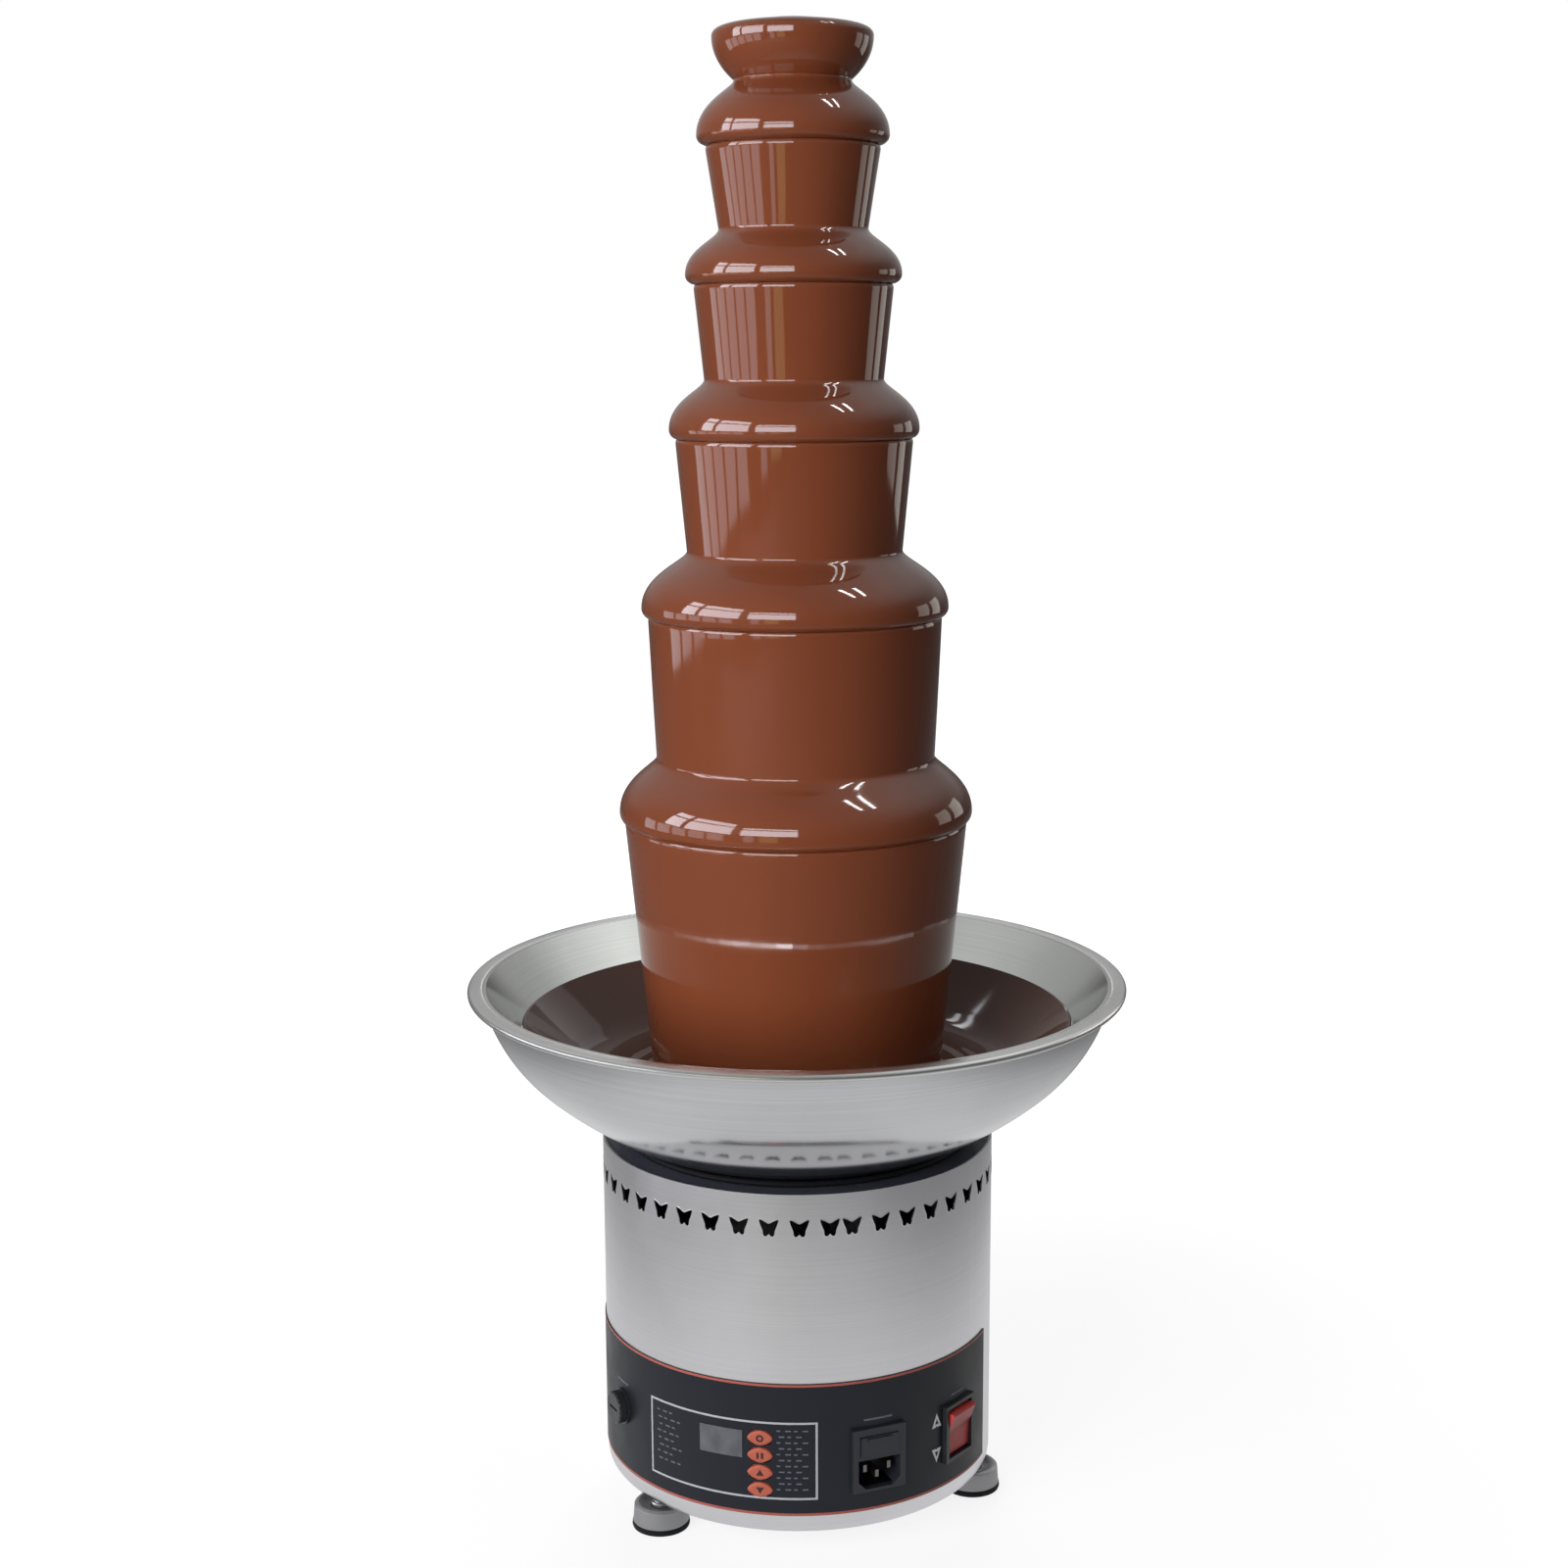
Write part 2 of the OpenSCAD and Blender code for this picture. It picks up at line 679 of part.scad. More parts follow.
module switch_housing() {
    well_w = rocker_w + 2 * gap;
    well_h = 2 * norm([rocker_h / 2, rocker_edge]) + 2 * gap;
    front = band_t + switch_lip;
    color([0.07, 0.07, 0.08]) difference() {
        union() {
            intersection() {
                on_wall(switch_heading, switch_up) block(switch_w, switch_h, -4, front);
                outside_band();
            }
            on_wall(switch_heading, switch_up)
                block(switch_body_w, switch_body_h, front - switch_body_depth, front - 0.5);
        }
        on_wall(switch_heading, switch_up) {
            block(well_w, well_h, front - switch_body_depth + 2, front + 1);
            translate([0, 0, rocker_pivot]) rotate([0, 90, 0])
                cylinder(r = rocker_pin_r + run, h = rocker_w + 2.4, center = true);
        }
    }
}

// The rocker: a shallow V front on a round back, tilted with its upper end out
module rocker() {
    half = rocker_h / 2;
    edge = rocker_edge;
    section = [[-half, edge], [-half + 1, edge + 0.6], [0, edge - 1.4],
        [half - 1, edge + 0.6], [half, edge],
        [half - 1.2, -1], [half - 5, -rocker_depth], [5 - half, -rocker_depth], [1.2 - half, -1]];
    color([0.68, 0.12, 0.1]) on_wall(switch_heading, switch_up) translate([0, 0, rocker_pivot]) {
        rotate([rocker_tilt, 0, 0]) rotate([90, 0, 90]) translate([0, 0, -rocker_w / 2])
            linear_extrude(rocker_w) polygon(section);
        rotate([0, 90, 0]) cylinder(r = rocker_pin_r, h = rocker_w + 2, center = true);
    }
}

module fuse_holder() {
    color([0.08, 0.08, 0.09]) difference() {
        union() {
            intersection() {
                on_wall(fuse_heading, fuse_up) translate([0, 0, -3])
                    cylinder(r = fuse_flange_r, h = 3 + band_t + fuse_flange_t);
                outside_band();
            }
            on_wall(fuse_heading, fuse_up) translate([0, 0, -fuse_depth])
                cylinder(r = fuse_tube_r, h = fuse_depth + band_t + fuse_flange_t - 0.4);
            on_wall(fuse_heading, fuse_up) translate([0, 0, -shell_t - 4.5])
                cylinder(r = fuse_tube_r + 2.5, h = 3.5, $fn = 6);
        }
        on_wall(fuse_heading, fuse_up) translate([0, 0, 2 - fuse_depth])
            cylinder(r = fuse_bore_r, h = fuse_depth + 10);
    }
}

// The plug that draws the fuse link out, with the journal that the cap turns on
module fuse_carrier() {
    front = band_t + fuse_flange_t;
    color([0.12, 0.12, 0.13]) on_wall(fuse_heading, fuse_up) translate([0, 0, -6])
        cylinder(r = fuse_stem_r, h = 6 + front + fuse_cap_h - 1.2);
}

module fuse_link() {
    link_l = 20;
    color([0.8, 0.82, 0.84]) on_wall(fuse_heading, fuse_up) translate([0, 0, -6 - link_l])
        cylinder(r = 2.5, h = link_l);
}

// The knurled cap, with a driver slot across its face
module fuse_cap() {
    front = band_t + fuse_flange_t + gap;
    r = fuse_cap_d / 2;
    flutes = 18;
    color([0.09, 0.09, 0.1]) on_wall(fuse_heading, fuse_up) translate([0, 0, front]) difference() {
        union() {
            cylinder(r = r, h = fuse_cap_h - 0.8);
            translate([0, 0, fuse_cap_h - 0.8]) cylinder(r1 = r, r2 = r - 0.8, h = 0.8);
        }
        translate([0, 0, -1]) cylinder(r = fuse_stem_r + run, h = fuse_cap_h + 1 - 1.2);
        block(r * 1.1, 1.4, fuse_cap_h - 0.9, fuse_cap_h + 1);
        for (i = [0:flutes - 1]) rotate([0, 0, i * 360 / flutes]) translate([r + 0.5, 0, -1])
            cylinder(r = 0.9, h = fuse_cap_h + 2, $fn = 24);
    }
}

module top_cover() {
    color([0.05, 0.05, 0.06]) ring(shell_in_r - gap / 2, cover_hole_r, cover_top - cover_t, cover_t);
}

module bowl_gasket() {
    color([0.08, 0.08, 0.08]) translate([0, 0, cover_top + gasket_bead])
        rotate_extrude() translate([gasket_r, 0]) circle(r = gasket_bead, $fn = 24);
}

// The spun basin: its flanged rim has a rolled edge, and three pins locate the tower
module bowl() {
    outer = basin_side(0);
    inner = basin_side(bowl_t);
    section = concat(
        [[seal_r + gap, bowl_z]], outer,
        [[rim_r - rim_edge_r, rim_low], [rim_r - rim_edge_r, rim_top], [rim_in_r, rim_top]],
        [for (i = [len(inner) - 1:-1:1]) inner[i]],
        [[bowl_floor_r - bowl_t, floor_z], [seal_r + gap, floor_z]]);
    color([0.8, 0.8, 0.82]) {
        rotate_extrude() polygon(section);
        translate([0, 0, rim_top - rim_edge_r])
            rotate_extrude() translate([rim_r - rim_edge_r, 0]) circle(r = rim_edge_r, $fn = 32);
        three_round(pin_circle_r, 60) translate([0, 0, floor_z - bowl_t / 2])
            cylinder(r = pin_r, h = pin_h + bowl_t / 2);
    }
}

// The outer shell that keeps the warm basin out of reach, held between the rim and the gasket
module bowl_jacket() {
    inner = jacket_side(bowl_t);
    color([0.78, 0.78, 0.8]) rotate_extrude()
        polygon(concat(jacket_side(0), [for (i = [len(inner) - 1:-1:0]) inner[i]]));
}

module bowl_studs() {
    color([0.7, 0.7, 0.72]) three_round(stud_circle_r, 0)
        translate([0, 0, plate_top - plate_t - 7]) cylinder(r = bolt_r, h = bowl_z - plate_top + plate_t + 7);
}

module bowl_nuts() {
    nut_r = bolt_r + 2.1;
    nut_h = 4;
    color([0.66, 0.66, 0.68]) three_round(stud_circle_r, 0)
        translate([0, 0, plate_top - plate_t - nut_h]) difference() {
            cylinder(r = nut_r, h = nut_h, $fn = 6);
            translate([0, 0, -1]) cylinder(r = bolt_r + run, h = nut_h + 2);
        }
}

module heater_plate() {
    color([0.72, 0.72, 0.7]) difference() {
        translate([0, 0, bowl_z - heater_t]) cylinder(d = heater_d, h = heater_t);
        translate([0, 0, bowl_z - heater_t - 1]) cylinder(r = heater_hole_r, h = heater_t + 2);
        three_round(stud_circle_r, 0) translate([0, 0, bowl_z - heater_t - 1])
            cylinder(r = bolt_r + gap, h = heater_t + 2);
    }
}

// Tubular element under the heater plate: most of a turn with two tails down to its terminals
module heater_element() {
    gap_angle = 40;
    tail_h = 14;
    z = bowl_z - heater_t - element_r;
    color([0.45, 0.42, 0.4]) {
        translate([0, 0, z]) rotate([0, 0, gap_angle / 2]) rotate_extrude(angle = 360 - gap_angle)
            translate([element_circle_r, 0]) circle(r = element_r, $fn = 24);
        for (side = [-1, 1]) rotate([0, 0, side * gap_angle / 2])
            translate([element_circle_r, 0, z - tail_h]) cylinder(r = element_r, h = tail_h);
    }
}

module thermostat() {
    body_r = 6.5;
    cap_h = 3;
    color([0.75, 0.72, 0.66]) translate([0, heater_hole_r + body_r, bowl_z - heater_t - 9]) {
        cylinder(r = body_r, h = 9 - cap_h);
        translate([0, 0, 9 - cap_h]) cylinder(r = body_r - 0.8, h = cap_h);
    }
}

// Three-armed plate that carries the gearbox, hung under the cover on three pillars
module motor_plate() {
    hub_margin = 12;
    arm_w = 24;
    arm_l = pillar_circle_r + pillar_r + 2;
    boss = drive_r + 7 + gap;
    color([0.62, 0.62, 0.64]) {
        translate([0, 0, plate_top - plate_t]) linear_extrude(plate_t) difference() {
            union() {
                circle(r = gearbox_d / 2 + hub_margin);
                for (i = [0:2]) rotate(30 + 120 * i) translate([-arm_w / 2, -arm_l]) square([arm_w, arm_l]);
            }
            circle(r = boss);
            for (i = [0:2]) rotate(120 * i) translate([0, -stud_circle_r]) circle(r = bolt_r + gap);
        }
        three_round(pillar_circle_r, 30) translate([0, 0, plate_top - plate_t / 2])
            cylinder(r = pillar_r, h = cover_top - cover_t - plate_top + plate_t / 2);
    }
}

module gearbox() {
    boss_rise = plate_t + 6;
    color([0.4, 0.41, 0.43]) difference() {
        union() {
            translate([0, 0, gearbox_z]) cylinder(d = gearbox_d, h = gearbox_h);
            translate([0, 0, gearbox_z + gearbox_h - 1]) cylinder(r = drive_r + 7, h = boss_rise + 1);
        }
        translate([0, 0, gearbox_z + 8]) cylinder(r = drive_r + run, h = far);
        three_round(stud_circle_r, 0) translate([0, 0, gearbox_z - 1])
            cylinder(r = bolt_r + 3, h = gearbox_h + 2);
    }
}

module motor() {
    cap_r = 11;
    cap_h = 5;
    color([0.3, 0.31, 0.33]) {
        translate([0, 0, gearbox_z - motor_h]) cylinder(d = motor_d, h = motor_h);
        translate([0, 0, gearbox_z - motor_h - cap_h]) cylinder(r = cap_r, h = cap_h + 1);
        translate([0, 0, gearbox_z - 6]) cylinder(r = motor_d / 2 + 1.5, h = 6);
    }
}

module drive_shaft() {
    foot = gearbox_z + 9;
    color([0.78, 0.78, 0.8]) {
        translate([0, 0, foot]) cylinder(r = drive_r, h = drive_top - foot);
        translate([0, 0, drive_pin_z]) rotate([0, 90, 0])
            cylinder(r = drive_pin_r, h = auger_shaft_d - 0.6, center = true);
    }
}

module shaft_seal() {
    lip_r = seal_r + 3;
    color([0.75, 0.3, 0.2]) difference() {
        union() {
            translate([0, 0, bowl_z - 3]) cylinder(r = seal_r, h = bowl_t + 3);
            translate([0, 0, floor_z]) cylinder(r1 = lip_r, r2 = seal_r - 1, h = 5);
        }
        translate([0, 0, bowl_z - 4]) cylinder(r = drive_r + run, h = far);
    }
}

module auger_shaft() {
    slot_w = 2 * drive_pin_r + 2 * gap;
    tip_h = 5;
    color([0.82, 0.82, 0.84]) difference() {
        union() {
            translate([0, 0, auger_z]) cylinder(r = auger_r, h = auger_top - auger_z - tip_h);
            translate([0, 0, auger_top - tip_h]) cylinder(r1 = auger_r, r2 = auger_r - 3, h = tip_h);
        }
        translate([0, 0, auger_z - 1]) cylinder(r = drive_r + run, h = socket_bore_h + 1);
        translate([-auger_r - 1, -slot_w / 2, auger_z - 1])
            cube([auger_shaft_d + 2, slot_w, drive_pin_z - auger_z + 1 + drive_pin_r + gap]);
    }
}

// One long helical blade: four corners at each step, joined into an unbroken band
module auger_flight() {
    z0 = auger_z + flight_foot;
    turns = (auger_top - 12 - flight_t - z0) / auger_pitch;
    steps = floor(turns * flight_turn_steps);
    r_in = auger_r + flight_weld;
    rings = [for (i = [0:steps]) let(a = i * 360 / flight_turn_steps,
        z = z0 + i * auger_pitch / flight_turn_steps)
        each [
            [r_in * cos(a), r_in * sin(a), z],
            [flight_r * cos(a), flight_r * sin(a), z],
            [flight_r * cos(a), flight_r * sin(a), z + flight_t],
            [r_in * cos(a), r_in * sin(a), z + flight_t]
        ]];
    sides = [for (i = [0:steps - 1]) for (k = [0:3]) let(a = 4 * i + k, b = 4 * i + (k + 1) % 4)
        each [[a, a + 4, b], [b, a + 4, b + 4]]];
    last = 4 * steps;
    ends = [[0, 1, 2], [0, 2, 3], [last, last + 2, last + 1], [last, last + 3, last + 2]];
    color([0.84, 0.84, 0.86]) polyhedron(points = rings, faces = concat(sides, ends), convexity = 20);
}

// The lift tube: a bottom collar over the locating pins, three inlet windows above it
// and a welded ring under each tier's hub
module tower_tube() {
    window_w = 24;
    window_h = 20;
    z = floor_z + gap;
    color([0.8, 0.8, 0.82]) difference() {
        union() {
            translate([0, 0, z]) cylinder(r = tube_r, h = crown_base_z - z);
            translate([0, 0, z]) cylinder(r = collar_r, h = collar_t);
            for (h = top_h) translate([0, 0, floor_z + h - film - hub_h - stop_h])
                cylinder(r = tube_r + stop_w, h = stop_h);
        }
        translate([0, 0, z - 1]) cylinder(r = tube_in_r, h = far * 2);
        three_round(pin_circle_r, 60) translate([0, 0, z - 1]) cylinder(r = pin_r + gap, h = collar_t + 2);
        for (i = [0:2]) turned(120 * i) translate([-window_w / 2, -tube_r - 5, z + collar_t + 3])
            cube([window_w, tube_r, window_h]);
    }
}

// A dome's outline from its neck out to its lip
function dome(neck, top, lip, lip_z, steps = 10) = [for (i = [0:steps]) let(a = 90 * i / steps)
    [neck + (lip - neck) * pow(sin(a), dome_power), lip_z + (top - lip_z) * pow(cos(a), dome_power)]];
function reversed(list) = [for (i = [len(list) - 1:-1:0]) list[i]];

// A spun tier: a dome with a hub that slides over the tube
module tier(i) {
    neck = neck_d[i] / 2;
    top = floor_z + top_h[i] - film;
    lip = lip_d[i] / 2 - film;
    lip_z = floor_z + lip_h[i];
    section = concat(
        [[hub_in_r, top]], dome(neck, top, lip, lip_z),
        reversed(dome(neck, top - tier_t, lip - tier_t, lip_z)),
        [[hub_r, top - tier_t], [hub_r, top - hub_h], [hub_in_r, top - hub_h]]);
    color([0.8, 0.8, 0.82]) rotate_extrude() polygon(section);
}

// The open crown that the auger overflows, standing on the first tier's hub
module crown() {
    wall = tier_t * 1.5;
    hub_z = floor_z + top_h[0] - film;
    color([0.8, 0.8, 0.82]) rotate_extrude() polygon([
        [hub_in_r, hub_z], [hub_r, hub_z], [hub_r, crown_base_z], [crown_rim_r, crown_rim_z],
        [crown_rim_r - wall, crown_rim_z], [hub_in_r, crown_base_z + tier_t]]);
}

// Chocolate heaped in the crown, over its lip and down to the first tier
module chocolate_crown() {
    neck = neck_d[0] / 2;
    neck_z = floor_z + top_h[0];
    lip = crown_d / 2;
    in_r = neck - curtain_t;
    wall = tier_t * 1.5;
    slope = (crown_rim_z - crown_base_z) / (crown_rim_r - hub_r);
    under = [for (i = [1:6]) let(a = 90 * i / 6)
        [neck + (lip - neck) * pow(cos(a), crown_power),
            crown_lip_z - (crown_lip_z - neck_z) * pow(sin(a), crown_power)]];
    fill_z = crown_base_z + tier_t + 2 * gap;
    section = concat(
        dome(0, crown_top, lip, crown_lip_z), under,
        [[in_r, neck_z], [in_r, crown_base_z + (in_r - hub_r) * slope - 3 * gap],
            [crown_rim_r + gap, crown_rim_z - gap * slope], [crown_rim_r + gap, crown_rim_z + 2 * gap],
            [crown_rim_r - wall - gap, crown_rim_z + 2 * gap], [hub_in_r, fill_z], [0, fill_z]]);
    color([0.43, 0.24, 0.15]) rotate_extrude() polygon(section);
}

// Chocolate on one tier: a film over the dome, a rolled lip and the curtain to the next tier
module chocolate_tier(i) {
    last = i == tiers - 1;
    neck = neck_d[i] / 2;
    top = floor_z + top_h[i];
    lip = lip_d[i] / 2;
    lip_z = floor_z + lip_h[i];
    fall = fall_d[i] / 2;
    foot_r = (last ? pool_fall_d : neck_d[i + 1]) / 2;
    foot_z = last ? pool_z + gap : floor_z + top_h[i + 1];
    fold = last ? [[fold_r + fold_step, fold_z + 2 * fold_step], [fold_r, fold_z]] : [];
    fold_in = last ? [[fold_r - curtain_t, fold_z]] : [];
    under = [for (a = [22.5:22.5:90]) [fall + (lip - fall) * cos(a), lip_z - lip_drop * sin(a)]];
    steel = dome(neck, top - film + gap, lip - film + gap, lip_z);
    section = concat(
        dome(neck, top, lip, lip_z), under, fold,
        [[foot_r, foot_z], [foot_r - curtain_t, foot_z]], fold_in,
        [[fall - curtain_t, lip_z - lip_drop], [fall - curtain_t, lip_z - gap],
            [lip - film + gap, lip_z - gap]],
        reversed(steel),
        [[neck - curtain_t, top - film + gap], [neck - curtain_t, top]]);
    color([0.43, 0.24, 0.15]) rotate_extrude() polygon(section);
}

// Chocolate lying in the bowl round the foot of the tower, and the coat it leaves up the basin's wall
module chocolate_pool() {
    wall = bowl_t + gap;
    skin = wall + coat_t;
    wetted = basin_side(wall, basin_angle, basin_angle_at(wall, coat_z));
    coat = basin_side(skin, basin_angle_at(skin, pool_z), basin_angle_at(skin, coat_z));
    in_r = collar_r + pool_room;
    section = concat([[in_r, floor_z + gap]], [for (i = [1:len(wetted) - 1]) wetted[i]], reversed(coat),
        [[in_r, pool_z]]);
    color([0.24, 0.15, 0.11]) rotate_extrude() polygon(section);
}

base_shell();
base_plate();
base_screws();
foot_nuts();
foot_sole(0);  // foot_1_sole
foot_cup(0);  // foot_1_cup
foot_stud(0);  // foot_1_stud
foot_sole(1);  // foot_2_sole
foot_cup(1);  // foot_2_cup
foot_stud(1);  // foot_2_stud
foot_sole(2);  // foot_3_sole
foot_cup(2);  // foot_3_cup
foot_stud(2);  // foot_3_stud
control_band();
display_window();
controller_board();
push_button(0);  // button_1
push_button(1);  // button_2
push_button(2);  // button_3
push_button(3);  // button_4
inlet_housing();
inlet_pins();
fuse_drawer();
switch_housing();
rocker();
fuse_holder();
fuse_carrier();
fuse_link();
fuse_cap();
top_cover();
bowl_gasket();
bowl();
bowl_jacket();
bowl_studs();
bowl_nuts();
heater_plate();
heater_element();
thermostat();
motor_plate();
gearbox();
motor();
drive_shaft();
shaft_seal();
auger_shaft();
auger_flight();
tower_tube();
tier(0);  // tier_1
tier(1);  // tier_2
tier(2);  // tier_3
tier(3);  // tier_4
tier(4);  // tier_5
crown();
chocolate_crown();
chocolate_tier(0);  // chocolate_tier_1
chocolate_tier(1);  // chocolate_tier_2
chocolate_tier(2);  // chocolate_tier_3
chocolate_tier(3);  // chocolate_tier_4
chocolate_tier(4);  // chocolate_tier_5
chocolate_pool();
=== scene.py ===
# Looks of a tiered chocolate fountain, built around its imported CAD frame.
# The object's sizes are in millimetres and become metres in its meshes; the studio's are in metres.
# Headings are in degrees and run from -Y towards +X.
import bpy
import bmesh
from math import sin, cos, tan, atan2, exp, radians, pi
from mathutils import Matrix, Vector


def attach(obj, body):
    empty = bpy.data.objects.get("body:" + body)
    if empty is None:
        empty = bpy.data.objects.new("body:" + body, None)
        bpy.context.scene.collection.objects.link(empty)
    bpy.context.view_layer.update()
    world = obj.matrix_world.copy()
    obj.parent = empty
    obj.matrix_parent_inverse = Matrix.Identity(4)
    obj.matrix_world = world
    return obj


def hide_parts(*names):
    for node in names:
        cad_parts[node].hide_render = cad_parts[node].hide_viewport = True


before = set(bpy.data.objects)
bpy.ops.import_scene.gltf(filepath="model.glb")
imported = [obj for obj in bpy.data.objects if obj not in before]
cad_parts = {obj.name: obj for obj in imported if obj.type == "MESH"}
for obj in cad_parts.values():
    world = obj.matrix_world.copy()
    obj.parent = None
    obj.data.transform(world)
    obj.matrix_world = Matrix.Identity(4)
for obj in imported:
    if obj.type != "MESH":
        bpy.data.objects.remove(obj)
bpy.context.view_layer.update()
MM = 0.001

# Levelling feet
# Three swivel feet: a moulded rubber sole under a turned grey cup, on a bright threaded stud
# that screws into the drum's floor. Sole and cup move together and the stud turns in the cup.
foot_headings = (-71.6, 54.4, 171.4)
foot_circle = 101.5
sole_radius = 16.0
sole_height = 3.2
cup_top = 14.0
stud_radius = 4.0
thread_pitch = 1.25
thread_depth = 0.55
thread_low = 13.2
thread_top = 25.1
thread_rows = 72
thread_columns = 48


def rounded(corners, steps=5):
    """A closed outline from (x, y, fillet radius) corners, with its round corners as arcs."""
    points = []
    for i, (x, y, fillet) in enumerate(corners):
        corner = Vector((x, y))
        if fillet == 0:
            points.append(corner)
            continue
        before = (Vector(corners[i - 1][:2]) - corner).normalized()
        after = (Vector(corners[(i + 1) % len(corners)][:2]) - corner).normalized()
        half = before.angle(after) / 2
        centre = corner + (before + after).normalized() * fillet / sin(half)
        start = corner + before * fillet / tan(half) - centre
        end = corner + after * fillet / tan(half) - centre
        for step in range(steps + 1):
            share = step / steps
            points.append(centre + (start * (1 - share) + end * share).normalized() * fillet)
    return points


def arc(centre, radius, first, last, steps):
    """Points of a round stretch between two angles in degrees."""
    angles = [radians(first + (last - first) * i / steps) for i in range(steps + 1)]
    return [Vector((centre[0] + radius * cos(a), centre[1] + radius * sin(a))) for a in angles]


def placed(name, data):
    """A mesh, lamp or camera as an object of the scene."""
    thing = bpy.data.objects.new(name, data)
    bpy.context.scene.collection.objects.link(thing)
    return thing


def meshed(name, bm, material):
    """A mesh object from a bmesh, in one material."""
    mesh = bpy.data.meshes.new(name)
    bm.to_mesh(mesh)
    bm.free()
    mesh.materials.append(material)
    return placed(name, mesh)


def finished(name, bm, material, smooth=35):
    """A solid's mesh object: doubles merged, faces outwards, edges sharp past an angle."""
    bmesh.ops.remove_doubles(bm, verts=bm.verts, dist=1e-6)
    bmesh.ops.recalc_face_normals(bm, faces=bm.faces)
    piece = meshed(name, bm, material)
    piece.data.shade_smooth()
    piece.data.set_sharp_from_angle(angle=radians(smooth))
    return piece


def bridged(bm, loops, closed=False):
    """Joins closed loops of points with bands of faces, and shuts the first and last loop if asked."""
    for low, high in zip(loops, loops[1:]):
        for k in range(len(low)):
            n = (k + 1) % len(low)
            bm.faces.new((low[k], low[n], high[n], high[k]))
    if closed:
        bm.faces.new(loops[0][::-1])
        bm.faces.new(loops[-1])


def turned(name, outline, material, segments=96, centre=(0, 0), smooth=35):
    """A closed (radius, height) outline in millimetres, spun about an upright axis."""
    bm = bmesh.new()
    rings = []
    for r, z in outline:
        count = segments if r > 1e-4 else 1
        rings.append([bm.verts.new(((centre[0] + r * cos(2 * pi * k / segments)) * MM,
                                    (centre[1] + r * sin(2 * pi * k / segments)) * MM, z * MM))
                      for k in range(count)])
    for lower, upper in zip(rings, rings[1:] + rings[:1]):
        for k in range(segments):
            corners = [lower[k % len(lower)], lower[(k + 1) % len(lower)],
                       upper[(k + 1) % len(upper)], upper[k % len(upper)]]
            corners = list(dict.fromkeys(corners))
            if len(corners) > 2:
                bm.faces.new(corners)
    return finished(name, bm, material, smooth)


def embossed(material, height, strength, distance=0.0002):
    """Gives a material a fine relief that follows a value."""
    nodes, links = material.node_tree.nodes, material.node_tree.links
    relief = nodes.new("ShaderNodeBump")
    relief.inputs["Strength"].default_value = strength
    relief.inputs["Distance"].default_value = distance
    links.new(height, relief.inputs["Height"])
    links.new(relief.outputs["Normal"], nodes["Principled BSDF"].inputs["Normal"])


def surface(name, colour, spread, metallic, rough, rough_spread, scale, stretch=(1, 1, 1), bump=0.0,
            detail=4.0, **sockets):
    """A shader whose colour, roughness and fine relief all follow one noise on Object coordinates."""
    material = bpy.data.materials.new(name)
    material.use_nodes = True
    nodes, links = material.node_tree.nodes, material.node_tree.links
    shader = nodes["Principled BSDF"]
    place = nodes.new("ShaderNodeTexCoord")
    mapping = nodes.new("ShaderNodeMapping")
    mapping.inputs["Scale"].default_value = stretch
    noise = nodes.new("ShaderNodeTexNoise")
    noise.inputs["Scale"].default_value = scale
    noise.inputs["Detail"].default_value = detail
    links.new(place.outputs["Object"], mapping.inputs["Vector"])
    links.new(mapping.outputs["Vector"], noise.inputs["Vector"])
    tone = nodes.new("ShaderNodeMix")
    tone.data_type = "RGBA"
    tone.inputs[6].default_value = [c * (1 - spread) for c in colour] + [1]
    tone.inputs[7].default_value = [min(1, c * (1 + spread)) for c in colour] + [1]
    links.new(noise.outputs["Fac"], tone.inputs[0])
    links.new(tone.outputs[2], shader.inputs["Base Color"])
    gloss = nodes.new("ShaderNodeMapRange")
    limits = (0.3, 0.7, rough - rough_spread, rough + rough_spread)
    for label, limit in zip(("From Min", "From Max", "To Min", "To Max"), limits):
        gloss.inputs[label].default_value = limit
    links.new(noise.outputs["Fac"], gloss.inputs["Value"])
    links.new(gloss.outputs["Result"], shader.inputs["Roughness"])
    if bump:
        embossed(material, noise.outputs["Fac"], bump)
    shader.inputs["Metallic"].default_value = metallic
    for socket, value in sockets.items():
        shader.inputs[socket.replace("_", " ")].default_value = value
    return material


def dress(material, *names):
    """Gives CAD nodes, whose shape is right as it is, their real finish."""
    for name in names:
        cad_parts[name].data.materials.clear()
        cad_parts[name].data.materials.append(material)


def fitted(piece, body, slot, *nodes):
    """Fixes a piece to its body and hides the CAD nodes that it stands for. Its slot is not used."""
    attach(piece, body)
    if nodes:
        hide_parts(*nodes)
    return piece


sole_rubber = surface("sole_rubber", (0.007, 0.007, 0.009), 0.4, 0, 0.62, 0.12, 900, bump=0.3,
                      Specular_IOR_Level=0.2)
foot_metal = surface("foot_metal", (0.34, 0.342, 0.355), 0.1, 0.85, 0.47, 0.05, 220, (1, 1, 6),
                     bump=0.04)
stud_metal = surface("stud_metal", (0.66, 0.66, 0.67), 0.08, 1, 0.32, 0.05, 400)
plain_steel = surface("plain_steel", (0.42, 0.42, 0.43), 0.12, 1, 0.38, 0.08, 160, (1, 1, 3), bump=0.1)

